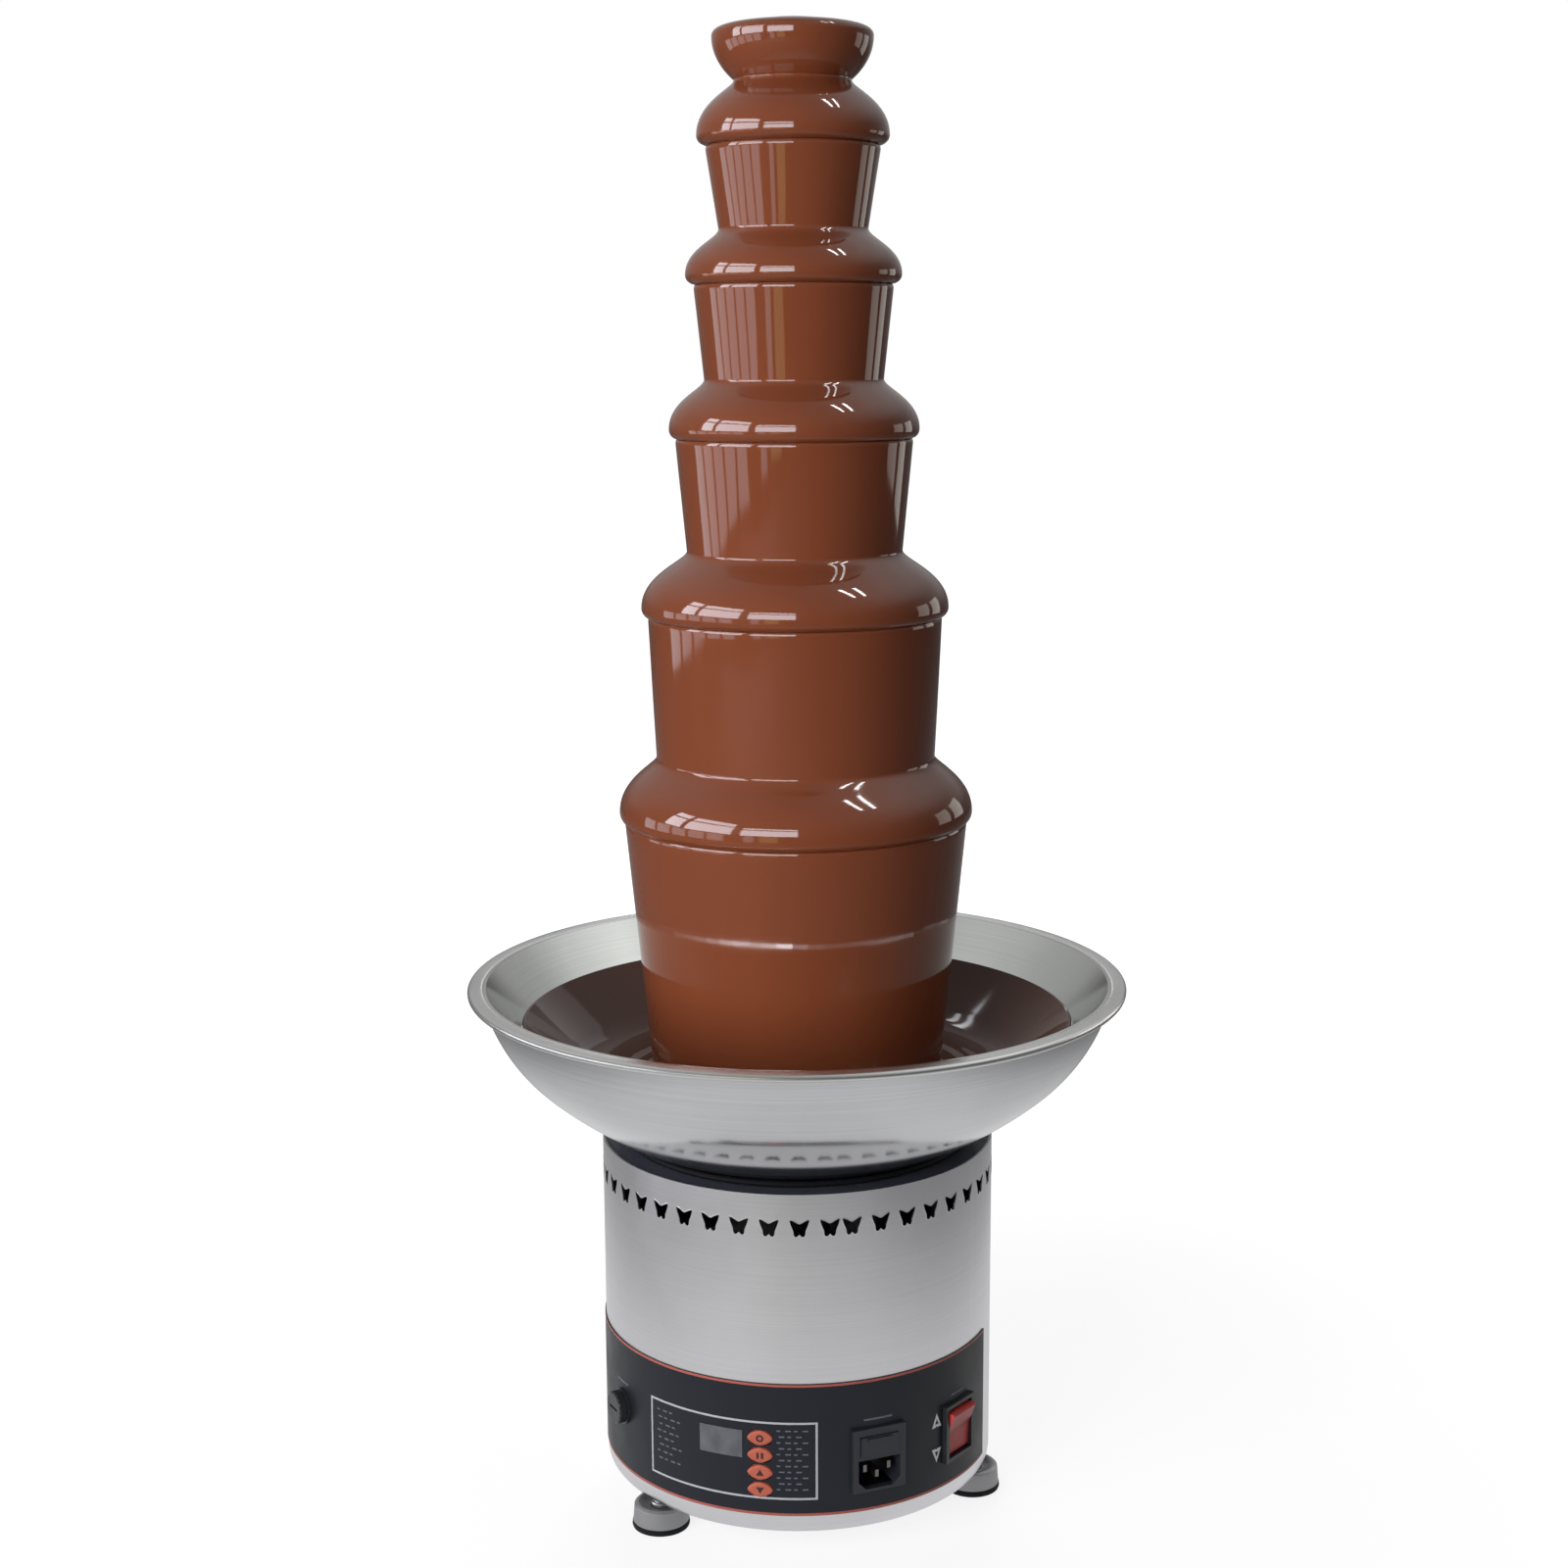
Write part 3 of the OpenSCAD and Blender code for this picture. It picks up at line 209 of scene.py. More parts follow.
for i, heading in enumerate(foot_headings, 1):
    axis = (foot_circle * sin(radians(heading)), -foot_circle * cos(radians(heading)))
    sole = turned(f"foot_{i}_sole_moulded", rounded([
        (0, 0.5, 0), (9, 0.5, 0), (9.5, 0, 0), (sole_radius - 0.4, 0, 0.4), (sole_radius, 1.2, 0.5),
        (sole_radius - 0.25, sole_height, 0.3), (0, sole_height, 0)]), sole_rubber, 72, axis)
    fitted(sole, f"foot_{i}", "sole_rubber", f"foot_{i}_sole")
    cup = turned(f"foot_{i}_cup_turned", rounded([
        (0, sole_height, 0), (15.5, sole_height, 0.3), (14.7, cup_top - 1.2, 0.7), (13.5, cup_top, 0.6),
        (12.3, cup_top, 0.4), (9.2, cup_top - 2.0, 1.0), (7.4, cup_top - 2.6, 0.4),
        (5.7, cup_top - 2.6, 0.1), (5.7, cup_top - 4.4, 0), (0, cup_top - 4.4, 0)]), foot_metal, 72, axis)
    fitted(cup, f"foot_{i}", "foot_metal", f"foot_{i}_cup")

    # The stud's thread: a ridge that climbs one pitch in each turn
    bm = bmesh.new()
    rings = []
    for row in range(thread_rows + 1):
        z = thread_low + (thread_top - thread_low) * row / thread_rows
        ring = []
        for k in range(thread_columns):
            turn = (z / thread_pitch - k / thread_columns) % 1
            ridge = (1 - abs(2 * turn - 1)) * min(1, (z - thread_low) / 0.6)
            r = stud_radius - thread_depth + thread_depth * ridge
            a = 2 * pi * k / thread_columns
            ring.append(bm.verts.new(((axis[0] + r * cos(a)) * MM, (axis[1] + r * sin(a)) * MM, z * MM)))
        rings.append(ring)
    bridged(bm, rings, closed=True)
    thread = finished(f"foot_{i}_stud_thread", bm, stud_metal, 60)
    fitted(thread, f"stud_{i}", "stud_metal", f"foot_{i}_stud")
    collar = turned(f"foot_{i}_stud_collar", rounded([
        (0, 9.95, 0), (5.35, 9.95, 0.3), (5.35, thread_low, 0.3), (4.9, 13.95, 0.4), (0, 13.95, 0)]),
        stud_metal, 48, axis)
    fitted(collar, f"stud_{i}", "stud_metal")
dress(plain_steel, "foot_nuts", "base_plate")

# Drum
# A drum rolled from satin steel sheet, with a turned-in lower edge and a row of punched butterfly vents.
# Its inner face is painted near-black and not metallic, as painted shade for the dark inside of the closed
# drum.
# The floor plate is screwed up into the lower edge.
drum_radius = 110.0
drum_low = 16.0
drum_top = 207.5
vent_count = 43
vent_seam = -10.7
vent_seam_angle = 6.2
vent_height = 189.0
vent_width = 10.4
vent_tall = 9.4
floor_screws = 6
screw_circle = 95.0
# Near-black painted shade for the drum's inner face
painted_shade_black = (0.012, 0.012, 0.013, 1)


def feed(tree, value, socket):
    """Gives a node's input a number or another node's output."""
    if isinstance(value, bpy.types.NodeSocket):
        tree.links.new(value, socket)
    else:
        socket.default_value = value


def math_node(tree, operation, a, b=0.0):
    """One step of a formula in a node tree."""
    node = tree.nodes.new("ShaderNodeMath")
    node.operation = operation
    feed(tree, a, node.inputs[0])
    feed(tree, b, node.inputs[1])
    return node.outputs[0]


def tree_with(name, **inputs):
    """A Geometry Nodes tree with a mesh in and out and named inputs, and its two end nodes."""
    tree = bpy.data.node_groups.new(name, "GeometryNodeTree")
    tree.is_modifier = True
    tree.interface.new_socket("Geometry", in_out="INPUT", socket_type="NodeSocketGeometry")
    for label, kind in inputs.items():
        tree.interface.new_socket(label.replace("_", " "), in_out="INPUT", socket_type=f"NodeSocket{kind}")
    tree.interface.new_socket("Geometry", in_out="OUTPUT", socket_type="NodeSocketGeometry")
    return tree, tree.nodes.new("NodeGroupInput"), tree.nodes.new("NodeGroupOutput")


def grown(piece, tree, smooth=35, **values):
    """Runs a Geometry Nodes tree on a piece and leaves the result in it as a plain mesh."""
    modifier = piece.modifiers.new(tree.name, "NODES")
    modifier.node_group = tree
    for item in tree.interface.items_tree:
        label = item.name.replace(" ", "_")
        if item.in_out == "INPUT" and label in values:
            modifier[item.identifier] = values[label]
    bpy.context.view_layer.update()
    result = bpy.data.meshes.new_from_object(piece.evaluated_get(bpy.context.evaluated_depsgraph_get()))
    piece.modifiers.clear()
    piece.data = result
    piece.data.name = piece.name
    result.shade_smooth()
    result.set_sharp_from_angle(angle=radians(smooth))
    return piece


# Repeats one small piece around the drum's axis at an even pitch
around, entry, leave = tree_with("around_the_axis", Count="Int", First_angle="Float", Pitch="Float",
                                 Finish="Material")
line = around.nodes.new("GeometryNodeMeshLine")
line.inputs["Offset"].default_value = (0, 0, 0)
around.links.new(entry.outputs["Count"], line.inputs["Count"])
index = around.nodes.new("GeometryNodeInputIndex")
turn = math_node(around, "ADD", math_node(around, "MULTIPLY", index.outputs[0], entry.outputs["Pitch"]),
                 entry.outputs["First angle"])
spin = around.nodes.new("ShaderNodeCombineXYZ")
around.links.new(turn, spin.inputs["Z"])
copies = around.nodes.new("GeometryNodeInstanceOnPoints")
around.links.new(line.outputs["Mesh"], copies.inputs["Points"])
around.links.new(entry.outputs["Geometry"], copies.inputs["Instance"])
around.links.new(spin.outputs["Vector"], copies.inputs["Rotation"])
real = around.nodes.new("GeometryNodeRealizeInstances")
around.links.new(copies.outputs["Instances"], real.inputs["Geometry"])
paint = around.nodes.new("GeometryNodeSetMaterial")
around.links.new(real.outputs["Geometry"], paint.inputs["Geometry"])
around.links.new(entry.outputs["Finish"], paint.inputs["Material"])
around.links.new(paint.outputs["Geometry"], leave.inputs["Geometry"])


def from_axis(material):
    """How far each point of a material's piece lies from the upright axis."""
    nodes, links = material.node_tree.nodes, material.node_tree.links
    flat = nodes.new("ShaderNodeVectorMath")
    flat.operation = "MULTIPLY"
    flat.inputs[1].default_value = (1, 1, 0)
    links.new(nodes["Texture Coordinate"].outputs["Object"], flat.inputs[0])
    reach = nodes.new("ShaderNodeVectorMath")
    reach.operation = "LENGTH"
    links.new(flat.outputs["Vector"], reach.inputs[0])
    return reach.outputs["Value"]


def tinted(material, share, tint, blend):
    """Lays a second colour over a material's own, by a share."""
    tree = material.node_tree
    shade = tree.nodes.new("ShaderNodeMix")
    shade.data_type = "RGBA"
    shade.blend_type = blend
    base = tree.nodes["Principled BSDF"].inputs["Base Color"]
    feed(tree, share, shade.inputs[0])
    feed(tree, base.links[0].from_socket, shade.inputs[6])
    feed(tree, tint, shade.inputs[7])
    tree.links.new(shade.outputs[2], base)


def satin_steel(name, colour, rough, grain, ring_grain):
    """Satin sheet: fine lines that run around the axis, over a soft cloudy mottling."""
    material = surface(name, colour, 0.13, 1, rough, 0.06, 13, detail=6)
    tree = material.node_tree
    nodes, links = tree.nodes, tree.links
    split = nodes.new("ShaderNodeSeparateXYZ")
    links.new(nodes["Texture Coordinate"].outputs["Object"], split.inputs[0])
    across = from_axis(material) if ring_grain else split.outputs["Z"]
    lines = nodes.new("ShaderNodeCombineXYZ")
    for socket, value, stretch in zip(lines.inputs, (*split.outputs[:2], across), (6, 6, grain)):
        links.new(math_node(tree, "MULTIPLY", value, stretch), socket)
    brush = nodes.new("ShaderNodeTexNoise")
    brush.inputs["Scale"].default_value = 1
    brush.inputs["Detail"].default_value = 3
    links.new(lines.outputs[0], brush.inputs["Vector"])
    embossed(material, brush.outputs["Fac"], 0.08)
    tinted(material, 0.17, brush.outputs["Fac"], "MULTIPLY")
    return material


drum_finish = ((0.81, 0.806, 0.83), 0.34, 2600, False)
brushed_steel = satin_steel("brushed_steel", *drum_finish)
drum_steel = satin_steel("drum_steel", *drum_finish)
tree = drum_steel.node_tree
height = tree.nodes["Separate XYZ"].outputs["Z"]
# The wall's inner face, between its turned edges, is painted near-black and not metallic: painted shade for
# the dark inside of the closed drum.
walled = math_node(tree, "MULTIPLY", math_node(tree, "GREATER_THAN", height, (drum_low + 4) * MM),
                   math_node(tree, "LESS_THAN", height, (drum_top - 8) * MM))
inner_face = math_node(tree, "MULTIPLY", walled,
                       math_node(tree, "LESS_THAN", from_axis(drum_steel), (drum_radius - 0.4) * MM))
tinted(drum_steel, inner_face, painted_shade_black, "MIX")
tree.links.new(math_node(tree, "SUBTRACT", 1.0, inner_face), tree.nodes["Principled BSDF"].inputs["Metallic"])
dress(drum_steel, "base_shell")

# One punched edge: the sheet rolls over slightly all round a butterfly
wing = [(0, 0.26), (0.1, 0.3), (0.28, 0.42), (0.46, 0.5), (0.5, 0.44), (0.44, 0.2), (0.38, 0.03),
        (0.31, -0.16), (0.29, -0.38), (0.22, -0.5), (0.1, -0.47), (0, -0.34)]
outline = [Vector((x * vent_width, y * vent_tall)) for x, y in wing]
outline += [Vector((-x * vent_width, y * vent_tall)) for x, y in wing[-2:0:-1]]
bm = bmesh.new()
loops = []
for spread, lift in ((0.0, -0.5), (0.0, 0.06), (0.22, 0.1), (0.5, 0.0)):
    loop = []
    for k, point in enumerate(outline):
        along = (outline[(k + 1) % len(outline)] - outline[k - 1]).normalized()
        out = point + Vector((-along.y, along.x)) * spread
        angle = out.x / drum_radius
        r = drum_radius + lift
        loop.append(bm.verts.new((r * sin(angle) * MM, -r * cos(angle) * MM, (vent_height + out.y) * MM)))
    loops.append(loop)
bridged(bm, loops)
vent_edges = finished("vent_edges", bm, brushed_steel)
vent_pitch = radians((360 - vent_seam_angle) / (vent_count - 1))
grown(vent_edges, around, Count=vent_count, Pitch=vent_pitch,
      First_angle=radians(vent_seam + vent_seam_angle / 2), Finish=brushed_steel)
fitted(vent_edges, "base", "brushed_steel")

# Six pan-head screws hold the floor plate
head = turned("floor_screws", rounded([
    (0, 17.5, 0), (2, 17.5, 0), (2, 16, 0), (3.6, 16, 0.2), (3.6, 14.9, 0.8), (0, 14.0, 0)]),
    plain_steel, 32, (0, -screw_circle))
grown(head, around, Count=floor_screws, First_angle=radians(15), Pitch=radians(360 / floor_screws),
      Finish=plain_steel)
fitted(head, "base", "plain_steel", "base_screws")

# Control band
# A thin dark facing sheet wrapped round the lower front, screen printed with a red line along each
# long edge, a pale frame round the controller, and plain marks beside the controls.
band_radius = 110.6
band_low = 27.0
band_top = 102.0
band_left = -118.0
band_right = 47.3
print_lift = 0.04

band_dark = surface("band_dark", (0.009, 0.0105, 0.016), 0.14, 0, 0.42, 0.06, 45, bump=0.03,
                    Specular_IOR_Level=0.3)
print_red = surface("print_red", (0.37, 0.09, 0.07), 0.12, 0, 0.45, 0.05, 300)
print_pale = surface("print_pale", (0.42, 0.43, 0.46), 0.1, 0, 0.5, 0.05, 300)
print_white = surface("print_white", (0.78, 0.78, 0.8), 0.05, 0, 0.5, 0.05, 300)
print_grey = surface("print_grey", (0.1, 0.11, 0.14), 0.25, 0, 0.5, 0.05, 300)
dress(band_dark, "control_band")


def on_wall(heading, right, up, out):
    """A point straight out from the drum's wall at a heading, with its height above the floor."""
    h = radians(heading)
    return ((right * cos(h) + out * sin(h)) * MM, (right * sin(h) - out * cos(h)) * MM, up * MM)


def inked(name, shapes, material, body, slot):
    """Flat shapes of points, as thin ink that faces away from the drum's axis."""
    bm = bmesh.new()
    for points in shapes:
        bm.faces.new([bm.verts.new(point) for point in points])
    bmesh.ops.recalc_face_normals(bm, faces=bm.faces)
    for face in bm.faces:
        middle = face.calc_center_median()
        if face.normal.dot(Vector((middle.x, middle.y, 0))) < 0:
            face.normal_flip()
    fitted(meshed(name, bm, material), body, slot)


def printed(name, shapes, material):
    """Flat shapes of (heading, height) corners, printed on the band."""
    lifted = band_radius + print_lift
    inked(name, [[on_wall(h, 0, z, lifted) for h, z in corners] for corners in shapes], material,
          "base", "band_dark")


def strip(left, right, low, high, step=1.0):
    """A bar along the wall, cut into short lengths that follow its curve."""
    count = max(1, round((right - left) / step))
    edges = [left + (right - left) * k / count for k in range(count + 1)]
    return [[(a, low), (b, low), (b, high), (a, high)] for a, b in zip(edges, edges[1:])]


def per_mm(length):
    """The angle that a length along the band takes up."""
    return length / band_radius * 180 / pi


line_w = 1.5
line_inset = 0.15
printed("red_lines", strip(band_left, band_right, band_top - line_w, band_top - line_inset)
        + strip(band_left, band_right, band_low + line_inset, band_low + line_w), print_red)
panel_left, panel_right, panel_low, panel_top = -69.3, -17.4, 36.3, 80.5
frame_w = 1.15
printed("panel_frame",
        strip(panel_left, panel_right, panel_top - frame_w, panel_top)
        + strip(panel_left, panel_right, panel_low, panel_low + frame_w)
        + strip(panel_left, panel_left + per_mm(frame_w), panel_low + frame_w, panel_top - frame_w)
        + strip(panel_right - per_mm(frame_w), panel_right, panel_low + frame_w, panel_top - frame_w),
        print_pale)

# Rows of plain dashes left of the display and right of the keys
left_dashes, left_half = -66.8, 0.45
right_dashes, right_half = -28.8, 0.42
dashes = []
for row in range(8):
    z = 74.6 - 4.0 * row
    for mark in range(3 + row % 2):
        start = left_dashes + 2.35 * mark + 0.5 * (row % 3)
        dashes += strip(start, start + 1.1 + 0.5 * ((row + mark) % 2), z - left_half, z + left_half)
for row in range(11):
    z = 75.6 - 3.35 * row
    for mark in range(4 - row % 2):
        start = right_dashes + 2.4 * mark + 0.6 * (row % 2)
        dashes += strip(start, start + 1.0 + 0.55 * ((row + mark) % 2), z - right_half, z + right_half)
printed("panel_dashes", dashes, print_grey)
printed("control_dashes", strip(-4.3, 4.3, 78.6, 79.7) + strip(26.4, 32.6, 77.6, 78.7)
        + strip(-88.4, -81.2, 77.2, 78.2), print_grey)

# Setting marks left of the switch: two open triangles, one up and one down
mark_heading, mark_w, mark_h = 20.2, 7.2, 8.2
half = per_mm(mark_w / 2)
for name, base, rise, side in (("mark_up", 63.5, mark_h, -half), ("mark_down", 51.1, -mark_h, half)):
    outer = [(mark_heading - side, base), (mark_heading, base + rise), (mark_heading + side, base)]
    middle = (mark_heading, base + rise * 0.36)
    inner = [tuple(m + (p - m) * 0.38 for p, m in zip(corner, middle)) for corner in outer]
    sides = [[outer[k], outer[(k + 1) % 3], inner[(k + 1) % 3], inner[k]] for k in range(3)]
    printed(name, sides, print_white)

# Controller
# A smoked display window, four soft orange keys that stand through the sheet and the circuit board
# behind them. Each key carries a dark printed sign and moves on its own.
key_heading = -33.4
key_heights = (71.2, 61.35, 51.5, 41.65)
key_front = 111.7
sign_lift = 0.06

display_glass = surface("display_glass", (0.075, 0.08, 0.096), 0.7, 0, 0.1, 0.04, 110, (1, 1, 0.7),
                        Coat_Weight=0.6, Coat_Roughness=0.05)
circuit_board = surface("circuit_board", (0.02, 0.11, 0.05), 0.3, 0, 0.4, 0.1, 300)
key_orange = surface("key_orange", (0.43, 0.1, 0.06), 0.12, 0, 0.42, 0.06, 260, bump=0.15)
key_ink = surface("key_ink", (0.03, 0.012, 0.016), 0.3, 0, 0.5, 0.05, 260)
dress(display_glass, "display_window")
dress(circuit_board, "controller_board")


def pad(name, heading, height, rings, material):
    """A cushioned cap: pointed ovals (half width, half height, out) stacked outwards from the wall."""
    bm = bmesh.new()
    oval = [(abs(p.x) ** 0.25 * p.x, abs(p.y) ** 0.25 * p.y) for p in arc((0, 0), 1, 0, 360, 40)[:-1]]
    loops = [[bm.verts.new(on_wall(heading, half_w * x, height + half_h * y, out)) for x, y in oval]
             for half_w, half_h, out in rings]
    bridged(bm, loops, closed=True)
    return finished(name, bm, material, 50)


for i, z in enumerate(key_heights, 1):
    key = pad(f"key_{i}", key_heading, z, [
        (7.4, 4.5, 105.7), (7.4, 4.5, 106.9), (7.0, 4.3, 106.95), (7.0, 4.3, 110.9), (6.85, 4.15, 111.3),
        (6.4, 3.7, 111.6), (5.5, 2.8, key_front), (4.2, 1.5, key_front + 0.02)], key_orange)
    fitted(key, f"button_{i}", "button_orange", f"button_{i}")
    ring = arc((0, z), 2.1, 0, 360, 20)[:-1]
    hole = arc((0, z), 1.0, 0, 360, 20)[:-1]
    signs = {
        1: [[ring[k], ring[(k + 1) % 20], hole[(k + 1) % 20], hole[k]] for k in range(20)],
        2: [[(-1.9, z - 1.8), (-0.6, z - 1.8), (-0.6, z + 1.8), (-1.9, z + 1.8)],
            [(0.6, z - 1.8), (1.9, z - 1.8), (1.9, z + 1.8), (0.6, z + 1.8)]],
        3: [[(-2.2, z - 1.6), (2.2, z - 1.6), (0, z + 2.0)]],
        4: [[(-2.2, z + 1.6), (0, z - 2.0), (2.2, z + 1.6)]],
    }
    face = key_front + sign_lift
    shapes = [[on_wall(key_heading, x, up, face) for x, up in corners] for corners in signs[i]]
    inked(f"key_{i}_sign", shapes, key_ink, f"button_{i}", "button_orange")

# Mains inlet
# A moulded inlet clipped into the band: flange, recessed socket with three plated blades and a fuse
# drawer above it that slides straight out.
moulded_slate = surface("moulded_slate", (0.017, 0.019, 0.026), 0.15, 0, 0.45, 0.06, 500, bump=0.2)
black_plastic = surface("black_plastic", (0.016, 0.017, 0.019), 0.2, 0, 0.36, 0.06, 500, bump=0.2)
blade_metal = surface("blade_metal", (0.21, 0.205, 0.195), 0.12, 1, 0.45, 0.05, 400)
dress(moulded_slate, "inlet_housing", "fuse_drawer")
dress(blade_metal, "inlet_pins")

# Switch
# A rocker switch in a black frame: the clear red rocker tips about a pin, its upper end out at rest.
rocker_red = surface("rocker_red", (0.6, 0.07, 0.062), 0.15, 0, 0.36, 0.05, 120, Coat_Weight=0.06,
                     Specular_IOR_Level=0.3, Transmission_Weight=0.1)
dress(black_plastic, "switch_housing")
dress(rocker_red, "rocker")

# Panel fuse
# A screw-in fuse holder: flanged body, fluted cap and the drawn carrier with its glass fuse.
fuse_glass = surface("fuse_glass", (0.8, 0.82, 0.84), 0.05, 0, 0.08, 0.03, 200, Transmission_Weight=0.6)
dress(black_plastic, "fuse_holder", "fuse_carrier", "fuse_cap")
dress(fuse_glass, "fuse_link")

# Cover and gasket
# A black-enamelled ring lies on the drum's ledge and a soft ring seals the bowl's jacket to it.
cover_black = surface("cover_black", (0.062, 0.066, 0.09), 0.2, 0, 0.24, 0.05, 30, bump=0.03)
dress(cover_black, "top_cover")
dress(sole_rubber, "bowl_gasket")

# Drive and heater
# Under the bowl: cast heater plate with its element and thermostat, and an enamelled plate on
# three pillars that carries gearbox and motor, and a silicone seal round the shaft.
heater_alloy = surface("heater_alloy", (0.5, 0.5, 0.49), 0.12, 1, 0.5, 0.08, 90, bump=0.2)
ceramic = surface("thermostat_ceramic", (0.62, 0.58, 0.5), 0.08, 0, 0.6, 0.08, 200)
motor_grey = surface("motor_grey", (0.045, 0.047, 0.05), 0.15, 0.2, 0.45, 0.06, 120, bump=0.1)
seal_rubber = surface("seal_rubber", (0.4, 0.07, 0.04), 0.12, 0, 0.5, 0.06, 200)
dress(heater_alloy, "heater_plate", "heater_element")
dress(ceramic, "thermostat")
dress(motor_grey, "gearbox", "motor", "motor_plate")
dress(seal_rubber, "shaft_seal")
dress(plain_steel, "bowl_studs", "bowl_nuts")

# Bowl
# A spun steel basin with a flat rim and a rolled edge, and three pins that locate the tower. A satin
# jacket hangs from its rim and stands on the gasket.
rim_radius = 183.3
rim_inner = 174.0
rim_top = 295.4
edge_radius = 2.0
sheet = 1.2
basin_floor = 54.0
basin_low = 195.5
basin_start = 30.0
seal_hole = 10.3
pin_circle = 29.5
pin_radius = 2.5
pin_low = 196.0
pin_top = 204.7

polished_steel = satin_steel("polished_steel", (0.64, 0.655, 0.63), 0.15, 2200, True)
flange_steel = satin_steel("flange_steel", (0.72, 0.725, 0.715), 0.32, 2200, True)
jacket_steel = satin_steel("jacket_steel", (0.64, 0.645, 0.66), 0.15, 2200, True)


def curve(start, end, first_angle, steps, inset):
    """A round stretch of sheet that leaves a point at an angle and reaches another, at a depth in it."""
    run = Vector(end) - Vector(start)
    climb = Vector((1, 0)).angle(run)
    last_angle = 2 * climb - radians(first_angle)
    bend = (last_angle - radians(first_angle)) / 2
    radius = run.length / (2 * sin(bend))
    a0 = radians(first_angle)
    centre = Vector(start) + radius * Vector((-sin(a0), cos(a0)))
    points = []
    for k in range(steps + 1):
        a = a0 + (last_angle - a0) * k / steps
        points.append(centre + (radius - inset) * Vector((sin(a), -cos(a))))
    return points


def basin_wall(steps, inset=0.0):
    """The basin's curved wall from its floor to its rim, at a depth from its underside."""
    return curve((basin_floor, basin_low), (rim_inner, rim_top - sheet), basin_start, steps, inset)


floor_underside = [(seal_hole, basin_low)]
rim_underside = [(rim_radius - edge_radius - sheet, rim_top - sheet)]
rolled_edge = arc((rim_radius - edge_radius, rim_top - edge_radius), edge_radius, -160, 90, 14)
rim_bend = [(rim_inner + 2.0, rim_top), (rim_inner + 1.2, rim_top - 0.15), (rim_inner + 0.8, rim_top - 0.6)]
floor_top = [(basin_floor - sheet, basin_low + sheet), (seal_hole, basin_low + sheet)]
basin = turned("basin", floor_underside + basin_wall(28) + rim_underside + rolled_edge + rim_bend
               + basin_wall(28, sheet)[:0:-1] + floor_top, polished_steel, 256, smooth=50)
basin.data.materials.append(flange_steel)
for face in basin.data.polygons:
    face.material_index = int(face.center.xy.length > (rim_inner + 0.8) * MM)
for k in range(3):
    h = radians(60 + 120 * k)
    pin = turned(f"locating_pin_{k + 1}", rounded([
        (0, pin_low, 0), (pin_radius, pin_low, 0), (pin_radius, pin_top, 0.8), (0, pin_top, 0)]),
        polished_steel, 32, (pin_circle * sin(h), -pin_circle * cos(h)))
    fitted(pin, "base", "polished_steel")
fitted(basin, "base", "polished_steel", "bowl")

jacket_start = (86.0, 206.2)
jacket_end = (rim_inner + 2.1, rim_top - sheet)
jacket_angles = (22.0, 41.0, 78.0)
low, mid, high = (radians(a) for a in jacket_angles)
lower_share = Vector((sin(mid) - sin(low), cos(low) - cos(mid)))
upper_share = Vector((sin(high) - sin(mid), cos(mid) - cos(high)))
jacket_run = Vector(jacket_end) - Vector(jacket_start)
share = lower_share.x * upper_share.y - lower_share.y * upper_share.x
lower_radius = (jacket_run.x * upper_share.y - jacket_run.y * upper_share.x) / share
upper_radius = (lower_share.x * jacket_run.y - lower_share.y * jacket_run.x) / share
lower_centre = Vector(jacket_start) + lower_radius * Vector((-sin(low), cos(low)))
upper_centre = lower_centre + (lower_radius - upper_radius) * Vector((sin(mid), -cos(mid)))
tuck = low - 0.042


def jacket_wall(inset):
    """The jacket's section at a depth from its outer face: two round stretches that meet smoothly."""
    points = []
    for centre, radius, first, last in ((lower_centre, lower_radius, tuck, mid),
                                        (upper_centre, upper_radius, mid, high)):
        for a in (first + (last - first) * k / 20 for k in range(21)):
            points.append(centre + (radius - inset) * Vector((sin(a), -cos(a))))
    return points[:21] + points[22:]


inner_wall = jacket_wall(sheet)[:-1] + [Vector((jacket_end[0] - sheet, jacket_end[1]))]
jacket = turned("jacket", jacket_wall(0) + inner_wall[::-1], jacket_steel, 256, smooth=50)
fitted(jacket, "base", "polished_steel", "bowl_jacket")

# Tower and auger
# The steel that the chocolate runs over: a lift tube with domed tiers and a crown, round an auger with
# one welded helical flight. It shows only when the tower is lifted off.
tower_steel = satin_steel("tower_steel", (0.69, 0.69, 0.7), 0.2, 2200, True)
dress(tower_steel, "tower_tube", "crown", "drive_shaft", "auger_shaft", "auger_flight",
      *[f"tier_{i}" for i in range(1, 6)])

# Flowing chocolate
# Warm milk chocolate wells over the crown, runs as a film over each dome, rolls under its lip and
# falls as a smooth curtain to the next tier and into the bowl.
neck = (29.5, 39.2, 47.7, 58.1, 76.3)
top = (777.3, 700.5, 622.0, 530.0, 417.0)
lip = (51.0, 57.7, 67.3, 83.6, 97.3)
lip_height = (752.0, 680.5, 599.5, 503.8, 391.5)
fall = (46.2, 53.2, 63.8, 80.0, 94.3)
last_foot = 80.6
first_lean = 0.58
shoulder = 0.7
pool_level = 243.2
lip_drop = 5.0
crease = 1.0
groove = 2.4
film = 1.7
curtain = 2.6
waver_depth = 0.3


def chocolate(name, colour, rough, shine):
    """Glossy chocolate: long faint flow streaks in its colour and a barely uneven skin."""
    material = surface(name, colour, 0.07, 0, rough, 0.02, 26, (1, 1, 0.16), detail=3,
                       Specular_IOR_Level=shine)
    nodes, links = material.node_tree.nodes, material.node_tree.links
    skin = nodes.new("ShaderNodeTexNoise")
    skin.inputs["Scale"].default_value = 45
    skin.inputs["Detail"].default_value = 1
    links.new(nodes["Mapping"].outputs["Vector"], skin.inputs["Vector"])
    embossed(material, skin.outputs["Fac"], 0.12, 0.0006)
    return material


